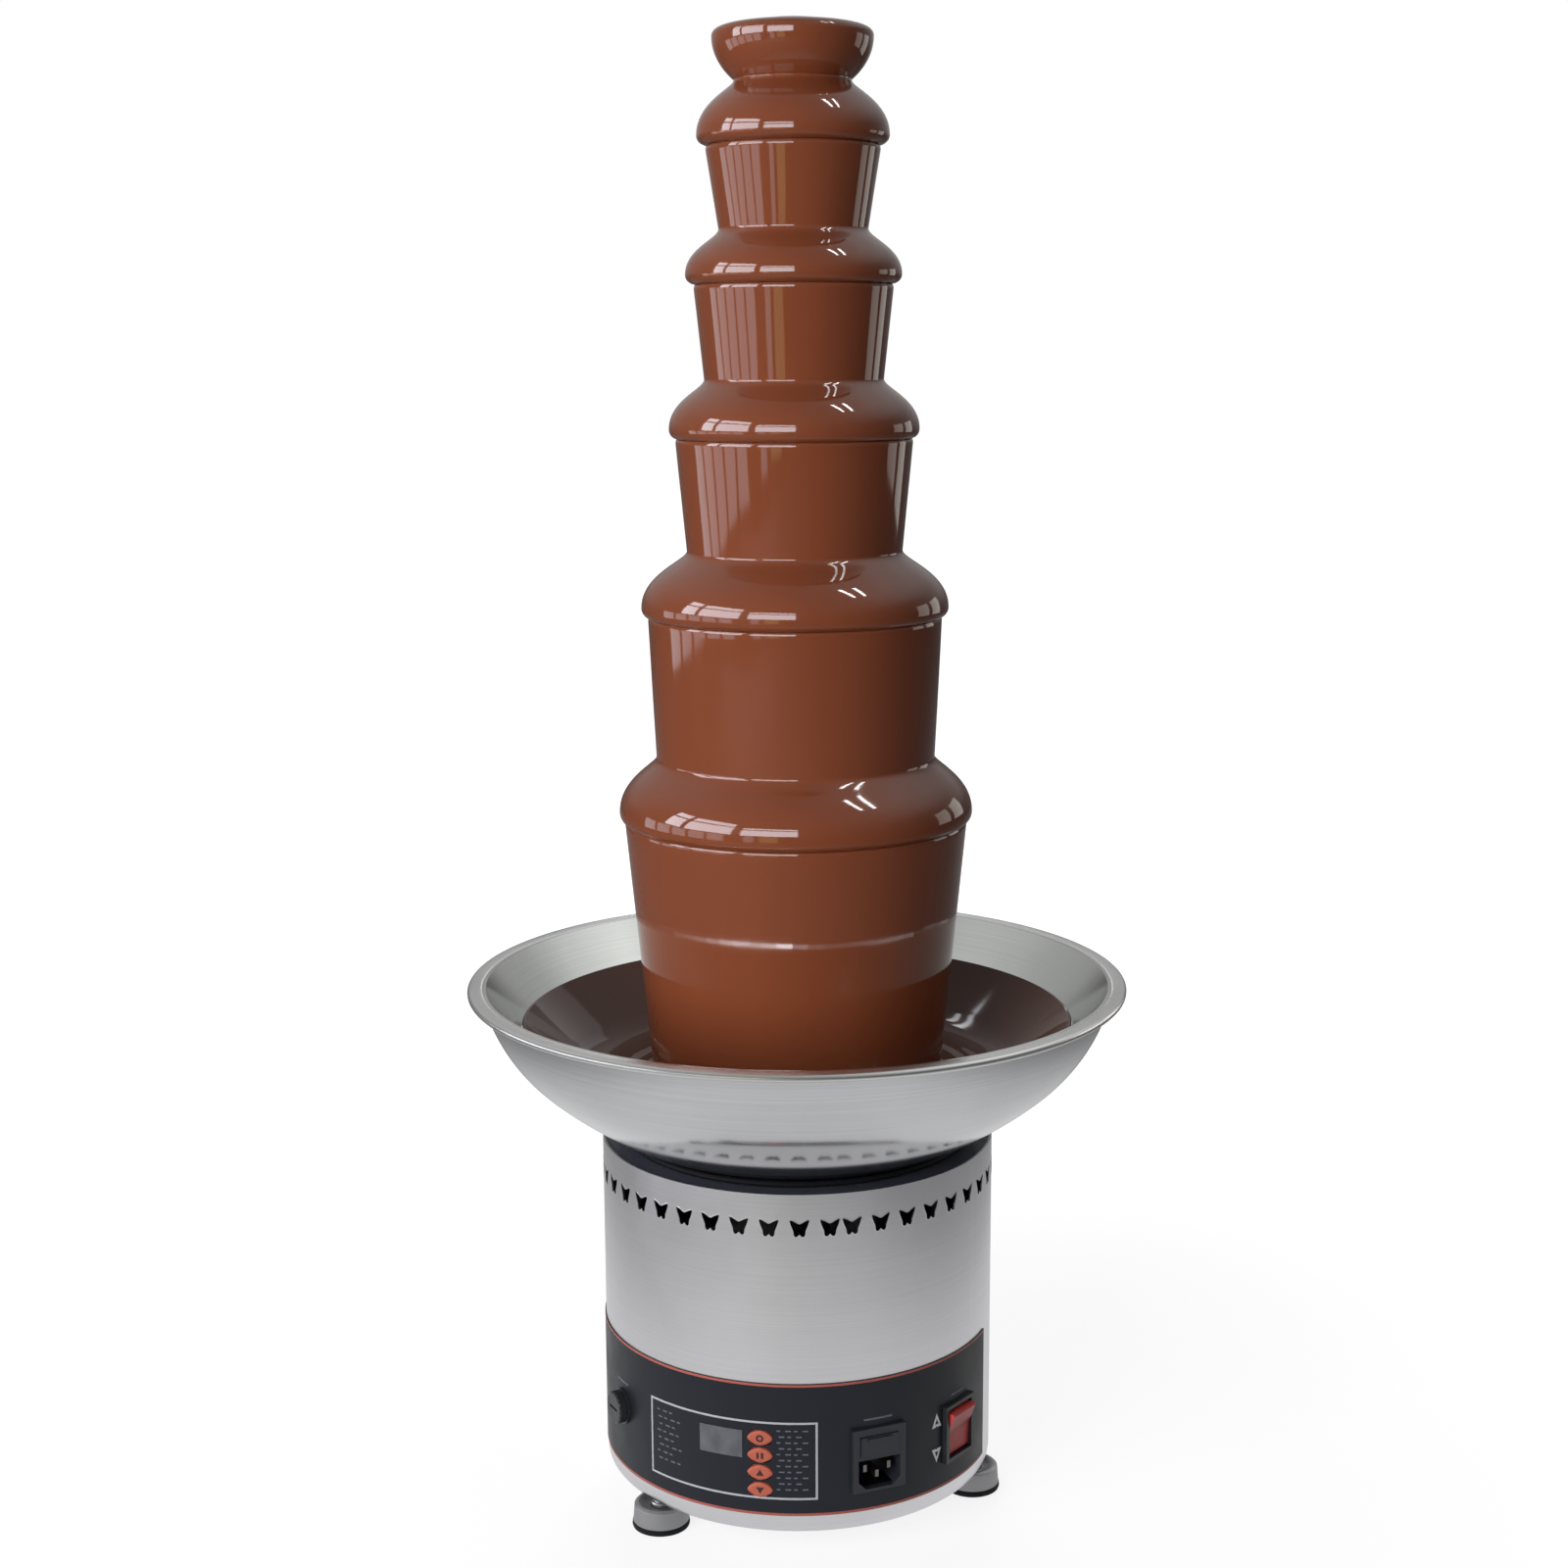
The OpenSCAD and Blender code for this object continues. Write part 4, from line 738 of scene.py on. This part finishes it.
milk_chocolate = chocolate("milk_chocolate", (0.185, 0.0495, 0.0205), 0.055, 0.33)
# The pool is the tiers' chocolate painted much darker: painted shade for the dimly lit pool.
pool_chocolate = chocolate("pool_chocolate", (0.07, 0.0215, 0.0095), 0.06, 0.17)

# The flow of one tier, as a formula on a grid: across it runs down the section, along it runs round
flow, entry, leave = tree_with(
    "flowing_tier", Rows="Int", Neck="Float", Top="Float", Lean="Float", Join="Float", Lip="Float",
    Lip_height="Float", Shoulder="Float", Fall="Float", Foot="Float", Foot_height="Float",
    Lip_drop="Float", Crease="Float", Groove="Float", Film="Float", Curtain="Float", Waver="Float",
    Finish="Material")
size = {item.name: entry.outputs[item.name] for item in flow.interface.items_tree if item.in_out == "INPUT"}
stages, columns = 6, 200


def calc(operation, a, b=0.0):
    """One step of the flow's formula."""
    return math_node(flow, operation, a, b)


def mixed(a, b, share):
    """A value part of the way from a to b."""
    return calc("ADD", a, calc("MULTIPLY", calc("SUBTRACT", b, a), share))


def swept(a, b, c, d, share):
    """A value on a smooth curve from a to d that sets off towards b and comes in from c."""
    ab, bc, cd = mixed(a, b, share), mixed(b, c, share), mixed(c, d, share)
    return mixed(mixed(ab, bc, share), mixed(bc, cd, share), share)


grid = flow.nodes.new("GeometryNodeMeshGrid")
grid.inputs["Size X"].default_value = 1
grid.inputs["Size Y"].default_value = 1
flow.links.new(calc("MULTIPLY", size["Rows"], stages), grid.inputs["Vertices X"])
grid.inputs["Vertices Y"].default_value = columns + 1
where = flow.nodes.new("GeometryNodeInputPosition")
parts = flow.nodes.new("ShaderNodeSeparateXYZ")
flow.links.new(where.outputs[0], parts.inputs[0])
all_rows = calc("SUBTRACT", calc("MULTIPLY", size["Rows"], stages), 1.0)
row = calc("ROUND", calc("MULTIPLY", calc("ADD", parts.outputs["X"], 0.5), all_rows))
stage = calc("FLOOR", calc("DIVIDE", calc("ADD", row, 0.5), size["Rows"]))
share = calc("DIVIDE", calc("SUBTRACT", row, calc("MULTIPLY", stage, size["Rows"])),
             calc("SUBTRACT", size["Rows"], 1.0))
round_angle = calc("MULTIPLY", calc("ADD", parts.outputs["Y"], 0.5), 2 * pi)

# Dome: it leaves the fall from above with a small hollow and swells out to the lip
join_r = calc("MULTIPLY", size["Lean"], size["Join"])
start_r = calc("ADD", size["Neck"], join_r)
start_z = calc("ADD", size["Top"], size["Join"])
turn_r = calc("SUBTRACT", size["Neck"], calc("MULTIPLY", join_r, 0.15))
turn_z = calc("SUBTRACT", size["Top"], calc("MULTIPLY", size["Join"], 0.15))
shoulder_z = mixed(size["Lip height"], size["Top"], size["Shoulder"])


def dome_at(along):
    """Radius and height of the dome part of the way from its neck to its lip."""
    return (swept(start_r, turn_r, size["Lip"], size["Lip"], along),
            swept(start_z, turn_z, shoulder_z, size["Lip height"], along))


dome_r, dome_z = dome_at(share)
# Roll under the lip to a crease, and out again to the curtain's face
quarter = calc("MULTIPLY", share, pi / 2)
crease_r = calc("SUBTRACT", size["Fall"], size["Crease"])
crease_z = calc("SUBTRACT", size["Lip height"], size["Lip drop"])
roll_r = mixed(crease_r, size["Lip"], calc("COSINE", quarter))
roll_z = mixed(size["Lip height"], crease_z, calc("SINE", quarter))
fall_z = calc("SUBTRACT", crease_z, size["Groove"])
groove_r = mixed(crease_r, size["Fall"], calc("SINE", quarter))
groove_z = mixed(fall_z, crease_z, calc("COSINE", quarter))
curtain_r = mixed(size["Fall"], size["Foot"], share)
curtain_z = mixed(fall_z, size["Foot height"], share)
# Behind the curtain and back up under the film
back = calc("SUBTRACT", 1.0, share)
behind_r = calc("SUBTRACT", mixed(size["Foot"], size["Fall"], share), size["Curtain"])
behind_z = mixed(size["Foot height"], calc("SUBTRACT", size["Lip height"], 0.002), share)
under_r, under_z = dome_at(back)
depth = calc("MULTIPLY", size["Film"], calc("MINIMUM", 1.0, calc("MULTIPLY", back, 6.0)))
film_r = calc("SUBTRACT", under_r, calc("MULTIPLY", depth, back))
film_z = calc("SUBTRACT", under_z, calc("MULTIPLY", depth, share))


def staged(*values):
    """The value that belongs to each stage of the section."""
    pick = flow.nodes.new("GeometryNodeIndexSwitch")
    pick.data_type = "FLOAT"
    while len(pick.index_switch_items) < len(values):
        pick.index_switch_items.new()
    flow.links.new(stage, pick.inputs["Index"])
    for socket, value in zip(pick.inputs[1:], values):
        flow.links.new(value, socket)
    return pick.outputs[0]


flow_r = staged(dome_r, roll_r, groove_r, curtain_r, behind_r, film_r)
flow_z = staged(dome_z, roll_z, groove_z, curtain_z, behind_z, film_z)
round_x, round_y = calc("COSINE", round_angle), calc("SINE", round_angle)


def spot(x, y, z):
    """A place from its three values."""
    node = flow.nodes.new("ShaderNodeCombineXYZ")
    for socket, value in zip(node.inputs, (x, y, z)):
        flow.links.new(value, socket)
    return node.outputs[0]


waves = flow.nodes.new("ShaderNodeTexNoise")
waves.inputs["Scale"].default_value = 1.6
waves.inputs["Detail"].default_value = 1.0
spread = zip((round_x, round_y, flow_z), (1.6, 1.6, 9.0))
flow.links.new(spot(*[calc("MULTIPLY", *pair) for pair in spread]), waves.inputs["Vector"])
waver = calc("MULTIPLY", calc("SUBTRACT", waves.outputs["Fac"], 0.5), size["Waver"])
full_r = calc("ADD", flow_r, waver)
move = flow.nodes.new("GeometryNodeSetPosition")
flow.links.new(grid.outputs["Mesh"], move.inputs["Geometry"])
flow.links.new(spot(calc("MULTIPLY", full_r, round_x), calc("MULTIPLY", full_r, round_y), flow_z),
               move.inputs["Position"])
weld = flow.nodes.new("GeometryNodeMergeByDistance")
weld.inputs["Distance"].default_value = 1e-5
flow.links.new(move.outputs["Geometry"], weld.inputs["Geometry"])
whole = flow.nodes.new("GeometryNodeRealizeInstances")
flow.links.new(weld.outputs["Geometry"], whole.inputs["Geometry"])
glaze = flow.nodes.new("GeometryNodeSetMaterial")
flow.links.new(whole.outputs["Geometry"], glaze.inputs["Geometry"])
flow.links.new(entry.outputs["Finish"], glaze.inputs["Material"])
flow.links.new(glaze.outputs["Geometry"], leave.inputs["Geometry"])

join = (3.0, 4.0, 4.0, 4.5, 5.0)
fall_height = [z - lip_drop - groove for z in lip_height]
lean = [first_lean]
for i in range(1, 5):
    lean.append((fall[i - 1] - neck[i]) / (fall_height[i - 1] - top[i]))
foot = [neck[i] + lean[i] * join[i] for i in range(1, 5)] + [last_foot]
foot_height = [top[i] + join[i] for i in range(1, 5)] + [pool_level + 0.2]
tiers = []
for i in range(5):
    tier = placed(f"flow_{i + 1}", bpy.data.meshes.new(f"flow_{i + 1}"))
    grown(tier, flow, 60, Rows=36, Neck=neck[i] * MM, Top=top[i] * MM, Lean=lean[i],
          Join=join[i] * MM, Lip=lip[i] * MM, Lip_height=lip_height[i] * MM, Shoulder=shoulder,
          Fall=fall[i] * MM, Foot=foot[i] * MM, Foot_height=foot_height[i] * MM, Lip_drop=lip_drop * MM,
          Crease=crease * MM, Groove=groove * MM, Film=film * MM, Curtain=curtain * MM,
          Waver=waver_depth * MM, Finish=milk_chocolate)
    fitted(tier, "tower", "milk_chocolate", f"chocolate_tier_{i + 1}")
    tiers.append(tier)

# The crown: chocolate heaped above a cupped flow that narrows to the first tier's neck
crown_lip = 42.5
crown_level = 802.0
crown_top = 811.8
heap = (29, 808.4)
well_floor = 786.0
crown_foot = (neck[0] + lean[0] * join[0], top[0] + join[0])


def bent(a, b, c, d, steps):
    """Points of a smooth curve from a to d that sets off towards b and comes in from c."""
    a, b, c, d = Vector(a), Vector(b), Vector(c), Vector(d)
    shares = [k / steps for k in range(steps + 1)]
    return [(1 - s) ** 3 * a + 3 * (1 - s) ** 2 * s * b + 3 * (1 - s) * s ** 2 * c + s ** 3 * d
            for s in shares]


mound = bent((0, crown_top), (9, crown_top), (18, 809.9), heap, 16)
mound += bent(heap, (37, 807.3), (crown_lip, 806.4), (crown_lip, crown_level), 18)[1:]
cupped = bent((crown_lip, crown_level), (crown_lip, 792), (crown_foot[0] + 5, crown_foot[1] + 4.2),
              crown_foot, 24)
well_radius = crown_foot[0] - curtain
well = [(well_radius, crown_foot[1]), (well_radius, well_floor), (0, well_floor)]
crown = turned("flow_crown", mound + cupped[1:] + well, milk_chocolate, 200, smooth=60)
fitted(crown, "tower", "milk_chocolate", "chocolate_crown")

# The pool: it lies level round the curtain's foot and leaves a thick coat up the basin's wall
pool_inner = 38.2
coat_top = 274.5
coat = 1.5
wall_gap = 0.3
pool_floor = 197.0
ripple_middle = 82.0
ripple_reach = 125.0
pool_wall = [p for p in basin_wall(80, sheet + wall_gap) if pool_floor + 0.1 < p.y < coat_top - 0.4]
skin_line = [p for p in basin_wall(80, sheet + wall_gap + coat) if pool_level + 9 < p.y < coat_top - 0.4]
brim = skin_line[-1] + Vector((0.9, 0.9))
shore = skin_line[0]
level_start = Vector((shore.x - 22, pool_level))
beach = bent(shore, shore - Vector((7.5, 7.2)), level_start + Vector((8, 0)), level_start, 14)
level = [(level_start.x - (level_start.x - pool_inner) * k / 50, pool_level) for k in range(1, 51)]
pool = turned("pool", [(pool_inner, pool_floor)] + pool_wall + [brim] + skin_line[::-1] + beach[1:] + level,
              pool_chocolate, 200, smooth=60)
for vertex in pool.data.vertices:
    x, y, z = vertex.co
    r = (x * x + y * y) ** 0.5 / MM
    if z > (pool_level - 2) * MM and r < ripple_reach:
        angle = atan2(y, x)
        near = exp(-abs(r - ripple_middle) / 12)
        swirl = sin(5 * angle + 2.1 * sin(2 * angle + 0.6) + r * 0.19)
        ripple = 0.65 * near * sin((r - ripple_middle) * 0.56 + 1.1 * swirl)
        vertex.co.z += (ripple + 0.25 * swirl * min(1, (ripple_reach - r) / 20)) * MM
fitted(pool, "base", "pool_chocolate", "chocolate_pool")

# Studio
# A pale floor, a plain white background and soft lamps. A grey tent with a paned window on its left
# and two slim tubes overhead stands round the set, where only reflections see it.
white = (1, 1, 1, 1)
view_heading = -22.7


def seen(tree):
    """Two values of a tree: one where the camera looks, and one where a reflection or clear glass does."""
    path = tree.nodes.new("ShaderNodeLightPath")
    mirrored = math_node(tree, "MAXIMUM", path.outputs["Is Glossy Ray"], path.outputs["Is Transmission Ray"])
    return path.outputs["Is Camera Ray"], mirrored


world = bpy.data.worlds.new("studio")
bpy.context.scene.world = world
world.use_nodes = True
nodes, links = world.node_tree.nodes, world.node_tree.links
backdrop = nodes["Background"]
backdrop.inputs["Color"].default_value = white
backdrop.inputs["Strength"].default_value = 1
fill = nodes.new("ShaderNodeBackground")
fill.inputs["Color"].default_value = (0.97, 0.98, 1, 1)
fill.inputs["Strength"].default_value = 0.22
choose = nodes.new("ShaderNodeMixShader")
links.new(math_node(world.node_tree, "MAXIMUM", *seen(world.node_tree)), choose.inputs[0])
links.new(fill.outputs[0], choose.inputs[1])
links.new(backdrop.outputs[0], choose.inputs[2])
links.new(choose.outputs[0], nodes["World Output"].inputs["Surface"])

floor_mesh = bpy.data.meshes.new("floor")
floor_mesh.from_pydata([(-9, -9, 0), (9, -9, 0), (9, 9, 0), (-9, 9, 0)], [], [(0, 1, 2, 3)])
floor = placed("floor", floor_mesh)
pale = bpy.data.materials.new("pale_floor")
pale.use_nodes = True
nodes, links = pale.node_tree.nodes, pale.node_tree.links
shader = nodes["Principled BSDF"]
shader.inputs["Base Color"].default_value = (0.2, 0.2, 0.2, 1)
shader.inputs["Roughness"].default_value = 0.9
shader.inputs["Emission Color"].default_value = white
position = nodes.new("ShaderNodeTexCoord").outputs["Object"]
distance = nodes.new("ShaderNodeVectorMath")
distance.operation = "LENGTH"
links.new(position, distance.inputs[0])
rightwards = nodes.new("ShaderNodeVectorMath")
rightwards.operation = "DOT_PRODUCT"
rightwards.inputs[1].default_value = (cos(radians(view_heading)), sin(radians(view_heading)), 0)
links.new(position, rightwards.inputs[0])


def ramp(value, first, last, low, high):
    """A soft change of the floor's glow between two places."""
    node = pale.node_tree.nodes.new("ShaderNodeMapRange")
    node.interpolation_type = "SMOOTHSTEP"
    for label, number in zip(("From Min", "From Max", "To Min", "To Max"), (first, last, low, high)):
        node.inputs[label].default_value = number
    pale.node_tree.links.new(value, node.inputs["Value"])
    return node.outputs["Result"]


camera_ray, mirrored = seen(pale.node_tree)
to_camera = math_node(pale.node_tree, "MULTIPLY", camera_ray,
                      ramp(distance.outputs["Value"], 0.25, 1.0, 0.82, 1.0))
sideways = math_node(pale.node_tree, "ABSOLUTE", rightwards.outputs["Value"])
near = math_node(pale.node_tree, "MULTIPLY", ramp(distance.outputs["Value"], 0.32, 0.9, 0.6, 0.04),
                 ramp(sideways, 0.18, 0.65, 1.0, 0.3))
to_mirrors = math_node(pale.node_tree, "MULTIPLY", mirrored, near)
links.new(math_node(pale.node_tree, "MAXIMUM", to_camera, to_mirrors), shader.inputs["Emission Strength"])
floor_mesh.materials.append(pale)


def stands(right_of_camera, distance, height):
    """A place in the studio by its angle to the right of the camera, seen from the tower."""
    h = radians(view_heading + right_of_camera)
    return Vector((distance * sin(h), -distance * cos(h), height))


# The tent: dark low down, lighter above, behind and high up at the sides. Each row has a height, a radius,
# its grey all round, and how much lighter it is behind, at the right and at the left.
tent_rows = (
    (0.0, 3.0, 0.08, 0.0, 0.0, 0.0),
    (0.5, 3.0, 0.1, 0.05, 0.0, 0.0),
    (1.0, 3.0, 0.16, 0.27, 0.0, 0.0),
    (1.6, 3.0, 0.22, 0.32, 0.0, 0.0),
    (2.4, 2.9, 0.3, 0.2, 0.5, 0.2),
    (3.2, 2.4, 0.36, 0.05, 0.85, 0.35),
    (3.7, 1.4, 0.38, 0.0, 0.55, 0.2),
    (3.9, 0.0, 0.38, 0.0, 0.2, 0.0))
tent_columns = 48
tent_lift = 0.004
right_glow, left_glow = radians(106), radians(-115)
bm = bmesh.new()
grey = bm.verts.layers.float_color.new("grey")
rings = []
for z, r, all_round, behind, right, left in tent_rows:
    ring = []
    for k in range(tent_columns if r else 1):
        a = 2 * pi * k / tent_columns
        vert = bm.verts.new((r * sin(a), -r * cos(a), z + tent_lift))
        to_right = a - radians(view_heading)
        tint = all_round + behind * max(0, -cos(to_right))
        tint += right * max(0, cos(to_right - right_glow)) ** 2
        tint += left * max(0, cos(to_right - left_glow)) ** 2
        vert[grey] = (tint, tint, tint, 1)
        ring.append(vert)
    rings.append(ring)
for low, high in zip(rings, rings[1:]):
    for k in range(tent_columns):
        n = k + 1
        corners = [low[k % len(low)], high[k % len(high)], high[n % len(high)], low[n % len(low)]]
        bm.faces.new(list(dict.fromkeys(corners)))
tent_cloth = bpy.data.materials.new("tent_cloth")
tent_cloth.use_nodes = True
nodes, links = tent_cloth.node_tree.nodes, tent_cloth.node_tree.links
glow = nodes.new("ShaderNodeEmission")
tone = nodes.new("ShaderNodeVertexColor")
tone.layer_name = "grey"
links.new(tone.outputs["Color"], glow.inputs["Color"])
links.new(glow.outputs[0], nodes["Material Output"].inputs["Surface"])
tent = meshed("tent", bm, tent_cloth)
tent.visible_camera = False
tent.visible_diffuse = False
tent.visible_shadow = False


def lamp(name, place, width, tall, radiance, colour=(1, 1, 1), aim=None, soft=False, only=None):
    """A lamp turned to the axis, at its own or another height, as bright as a surface of that radiance.

    A soft lamp lights the object and isn't mirrored. Any other is only mirrored, by all or by a group."""
    data = bpy.data.lights.new(name, "AREA")
    data.shape = "RECTANGLE"
    data.size, data.size_y = width, tall
    data.energy = radiance * pi * width * tall
    data.color = colour
    light = placed(name, data)
    towards = Vector((0, 0, place.z if aim is None else aim)) - place
    light.matrix_world = Matrix.Translation(place) @ towards.to_track_quat("-Z", "Y").to_matrix().to_4x4()
    light.visible_camera = False
    light.visible_glossy = not soft
    light.visible_diffuse = soft
    light.light_linking.receiver_collection = only
    return light


def group(name, *pieces):
    """Pieces that alone mirror a lamp."""
    collection = bpy.data.collections.new(name)
    for piece in pieces:
        collection.objects.link(piece)
    return collection


# Soft light that falls on the object
lamp("soft_key", stands(-38, 2.1, 0.8), 1.6, 1.4, 7.7, aim=0.45, soft=True)
lamp("soft_fill", stands(62, 2.4, 1.1), 1.2, 1.2, 0.25, aim=0.4, soft=True)
lamp("soft_back", stands(178, 2.2, 1.6), 1.4, 1.2, 5.5, aim=0.4, soft=True)

# What reflections show: a window on the left. Its bright upper panes are mirrored by chocolate alone
flowing = group("flowing", crown, pool, *tiers)
for number, heading in enumerate((-105, -91.6, -78.2, -64.8, -51.4), 1):
    lamp(f"low_pane_{number}", stands(heading, 1.7, 0.395), 0.33, 0.45, 3.4, (0.93, 0.93, 1))
for heading, width, low, high in ((-85, 0.4, 0.68, 1.28), (-85, 0.4, 1.36, 1.62), (-58, 1.02, 0.68, 1.28),
                                  (-58, 1.02, 1.36, 1.62), (-17, 1.1, 0.68, 1.14), (-17, 1.1, 1.21, 1.34)):
    lamp(f"pane_{-heading}_{low}", stands(heading, 1.7, (low + high) / 2), width, high - low, 15,
         (0.9, 0.92, 1), only=flowing)

# Glints along the bowl's rim, from left to right, which the last curtain mirrors
rim_glints = (0.8, 1.6, 3, 6, 12, 17, 13, 15, 24, 5, 2, 1.2, 1.2, 1.6, 2.4, 3, 2.4, 1.6)
first_glint, glint_pitch = -70, 8
glint_circle, glint_height = 0.172, 0.2962
last_curtain = group("last_curtain", tiers[-1])
for number, radiance in enumerate(rim_glints):
    place = stands(first_glint + glint_pitch * number, glint_circle, glint_height)
    lamp(f"rim_glint_{number + 1}", place, 0.0246, 0.0024, radiance, (0.96, 0.95, 1), aim=0.385,
         only=last_curtain)

# Strips in front and on the right, panes and tubes over the pool, and panes behind
lamp("pale_strip", stands(-29, 1.8, 0.42), 0.2, 0.5, 2.6, (0.95, 0.93, 1))
lamp("warm_strip", stands(-16.5, 1.9, 0.42), 0.36, 0.5, 2.1, (1, 0.85, 0.38))
for heading in (109, 128):
    lamp(f"right_strip_{heading}", stands(heading, 1.8, 0.6), 0.44, 0.62, 1.7, (1, 0.95, 0.88))
pooled = group("pooled", pool)
for name, place, width, tall, radiance in (("pool_pane", stands(154, 2.2, 1.2), 0.85, 0.7, 0.6),
                                           ("pool_tube_1", stands(-143, 2, 2.3), 0.9, 0.1, 11),
                                           ("pool_tube_2", stands(-148, 2, 2.0), 1.1, 0.1, 11)):
    lamp(name, place, width, tall, radiance, (0.94, 0.95, 1), aim=0.27, only=pooled)
for heading, height, width in ((183, 0.86, 0.3), (176, 1.05, 0.14)):
    lamp(f"back_pane_{heading}", stands(heading, 2.6, height), width, 0.4, 1.7, aim=0.3)

# Two slim tubes overhead, side by side, which face straight down
along = (stands(90, 1, 0) * 0.757 + stands(0, 1, 0) * 0.653).normalized()
for number, (right, behind) in enumerate(((1.1, -0.27), (1.32, 0.01)), 1):
    place = stands(90, right, 2.77) + stands(180, behind, 0)
    tube = lamp(f"tube_{number}", place, 0.8, 0.09, 36, only=flowing)
    tube.matrix_world = Matrix.Translation(place) @ along.to_track_quat("X", "Z").to_matrix().to_4x4()

# Camera
# At the photograph's height and angle, a little to the left of the mains inlet.
photo_width = 1600
focal_pixels = 2406.7
sensor_width = 36
camera_distance = 1.2812
camera_height = 0.6427
pitch = 10.495
yaw = 0.29
roll = -0.3
camera_data = bpy.data.cameras.new("camera")
camera_data.sensor_width = sensor_width
camera_data.lens = focal_pixels / photo_width * sensor_width
camera = placed("camera", camera_data)
camera.matrix_world = (Matrix.Translation(stands(0, camera_distance, camera_height))
                       @ Matrix.Rotation(radians(view_heading + yaw), 4, "Z")
                       @ Matrix.Rotation(radians(90 - pitch), 4, "X")
                       @ Matrix.Rotation(radians(roll), 4, "Z"))
bpy.context.scene.camera = camera
bpy.context.scene.view_settings.view_transform = "Standard"
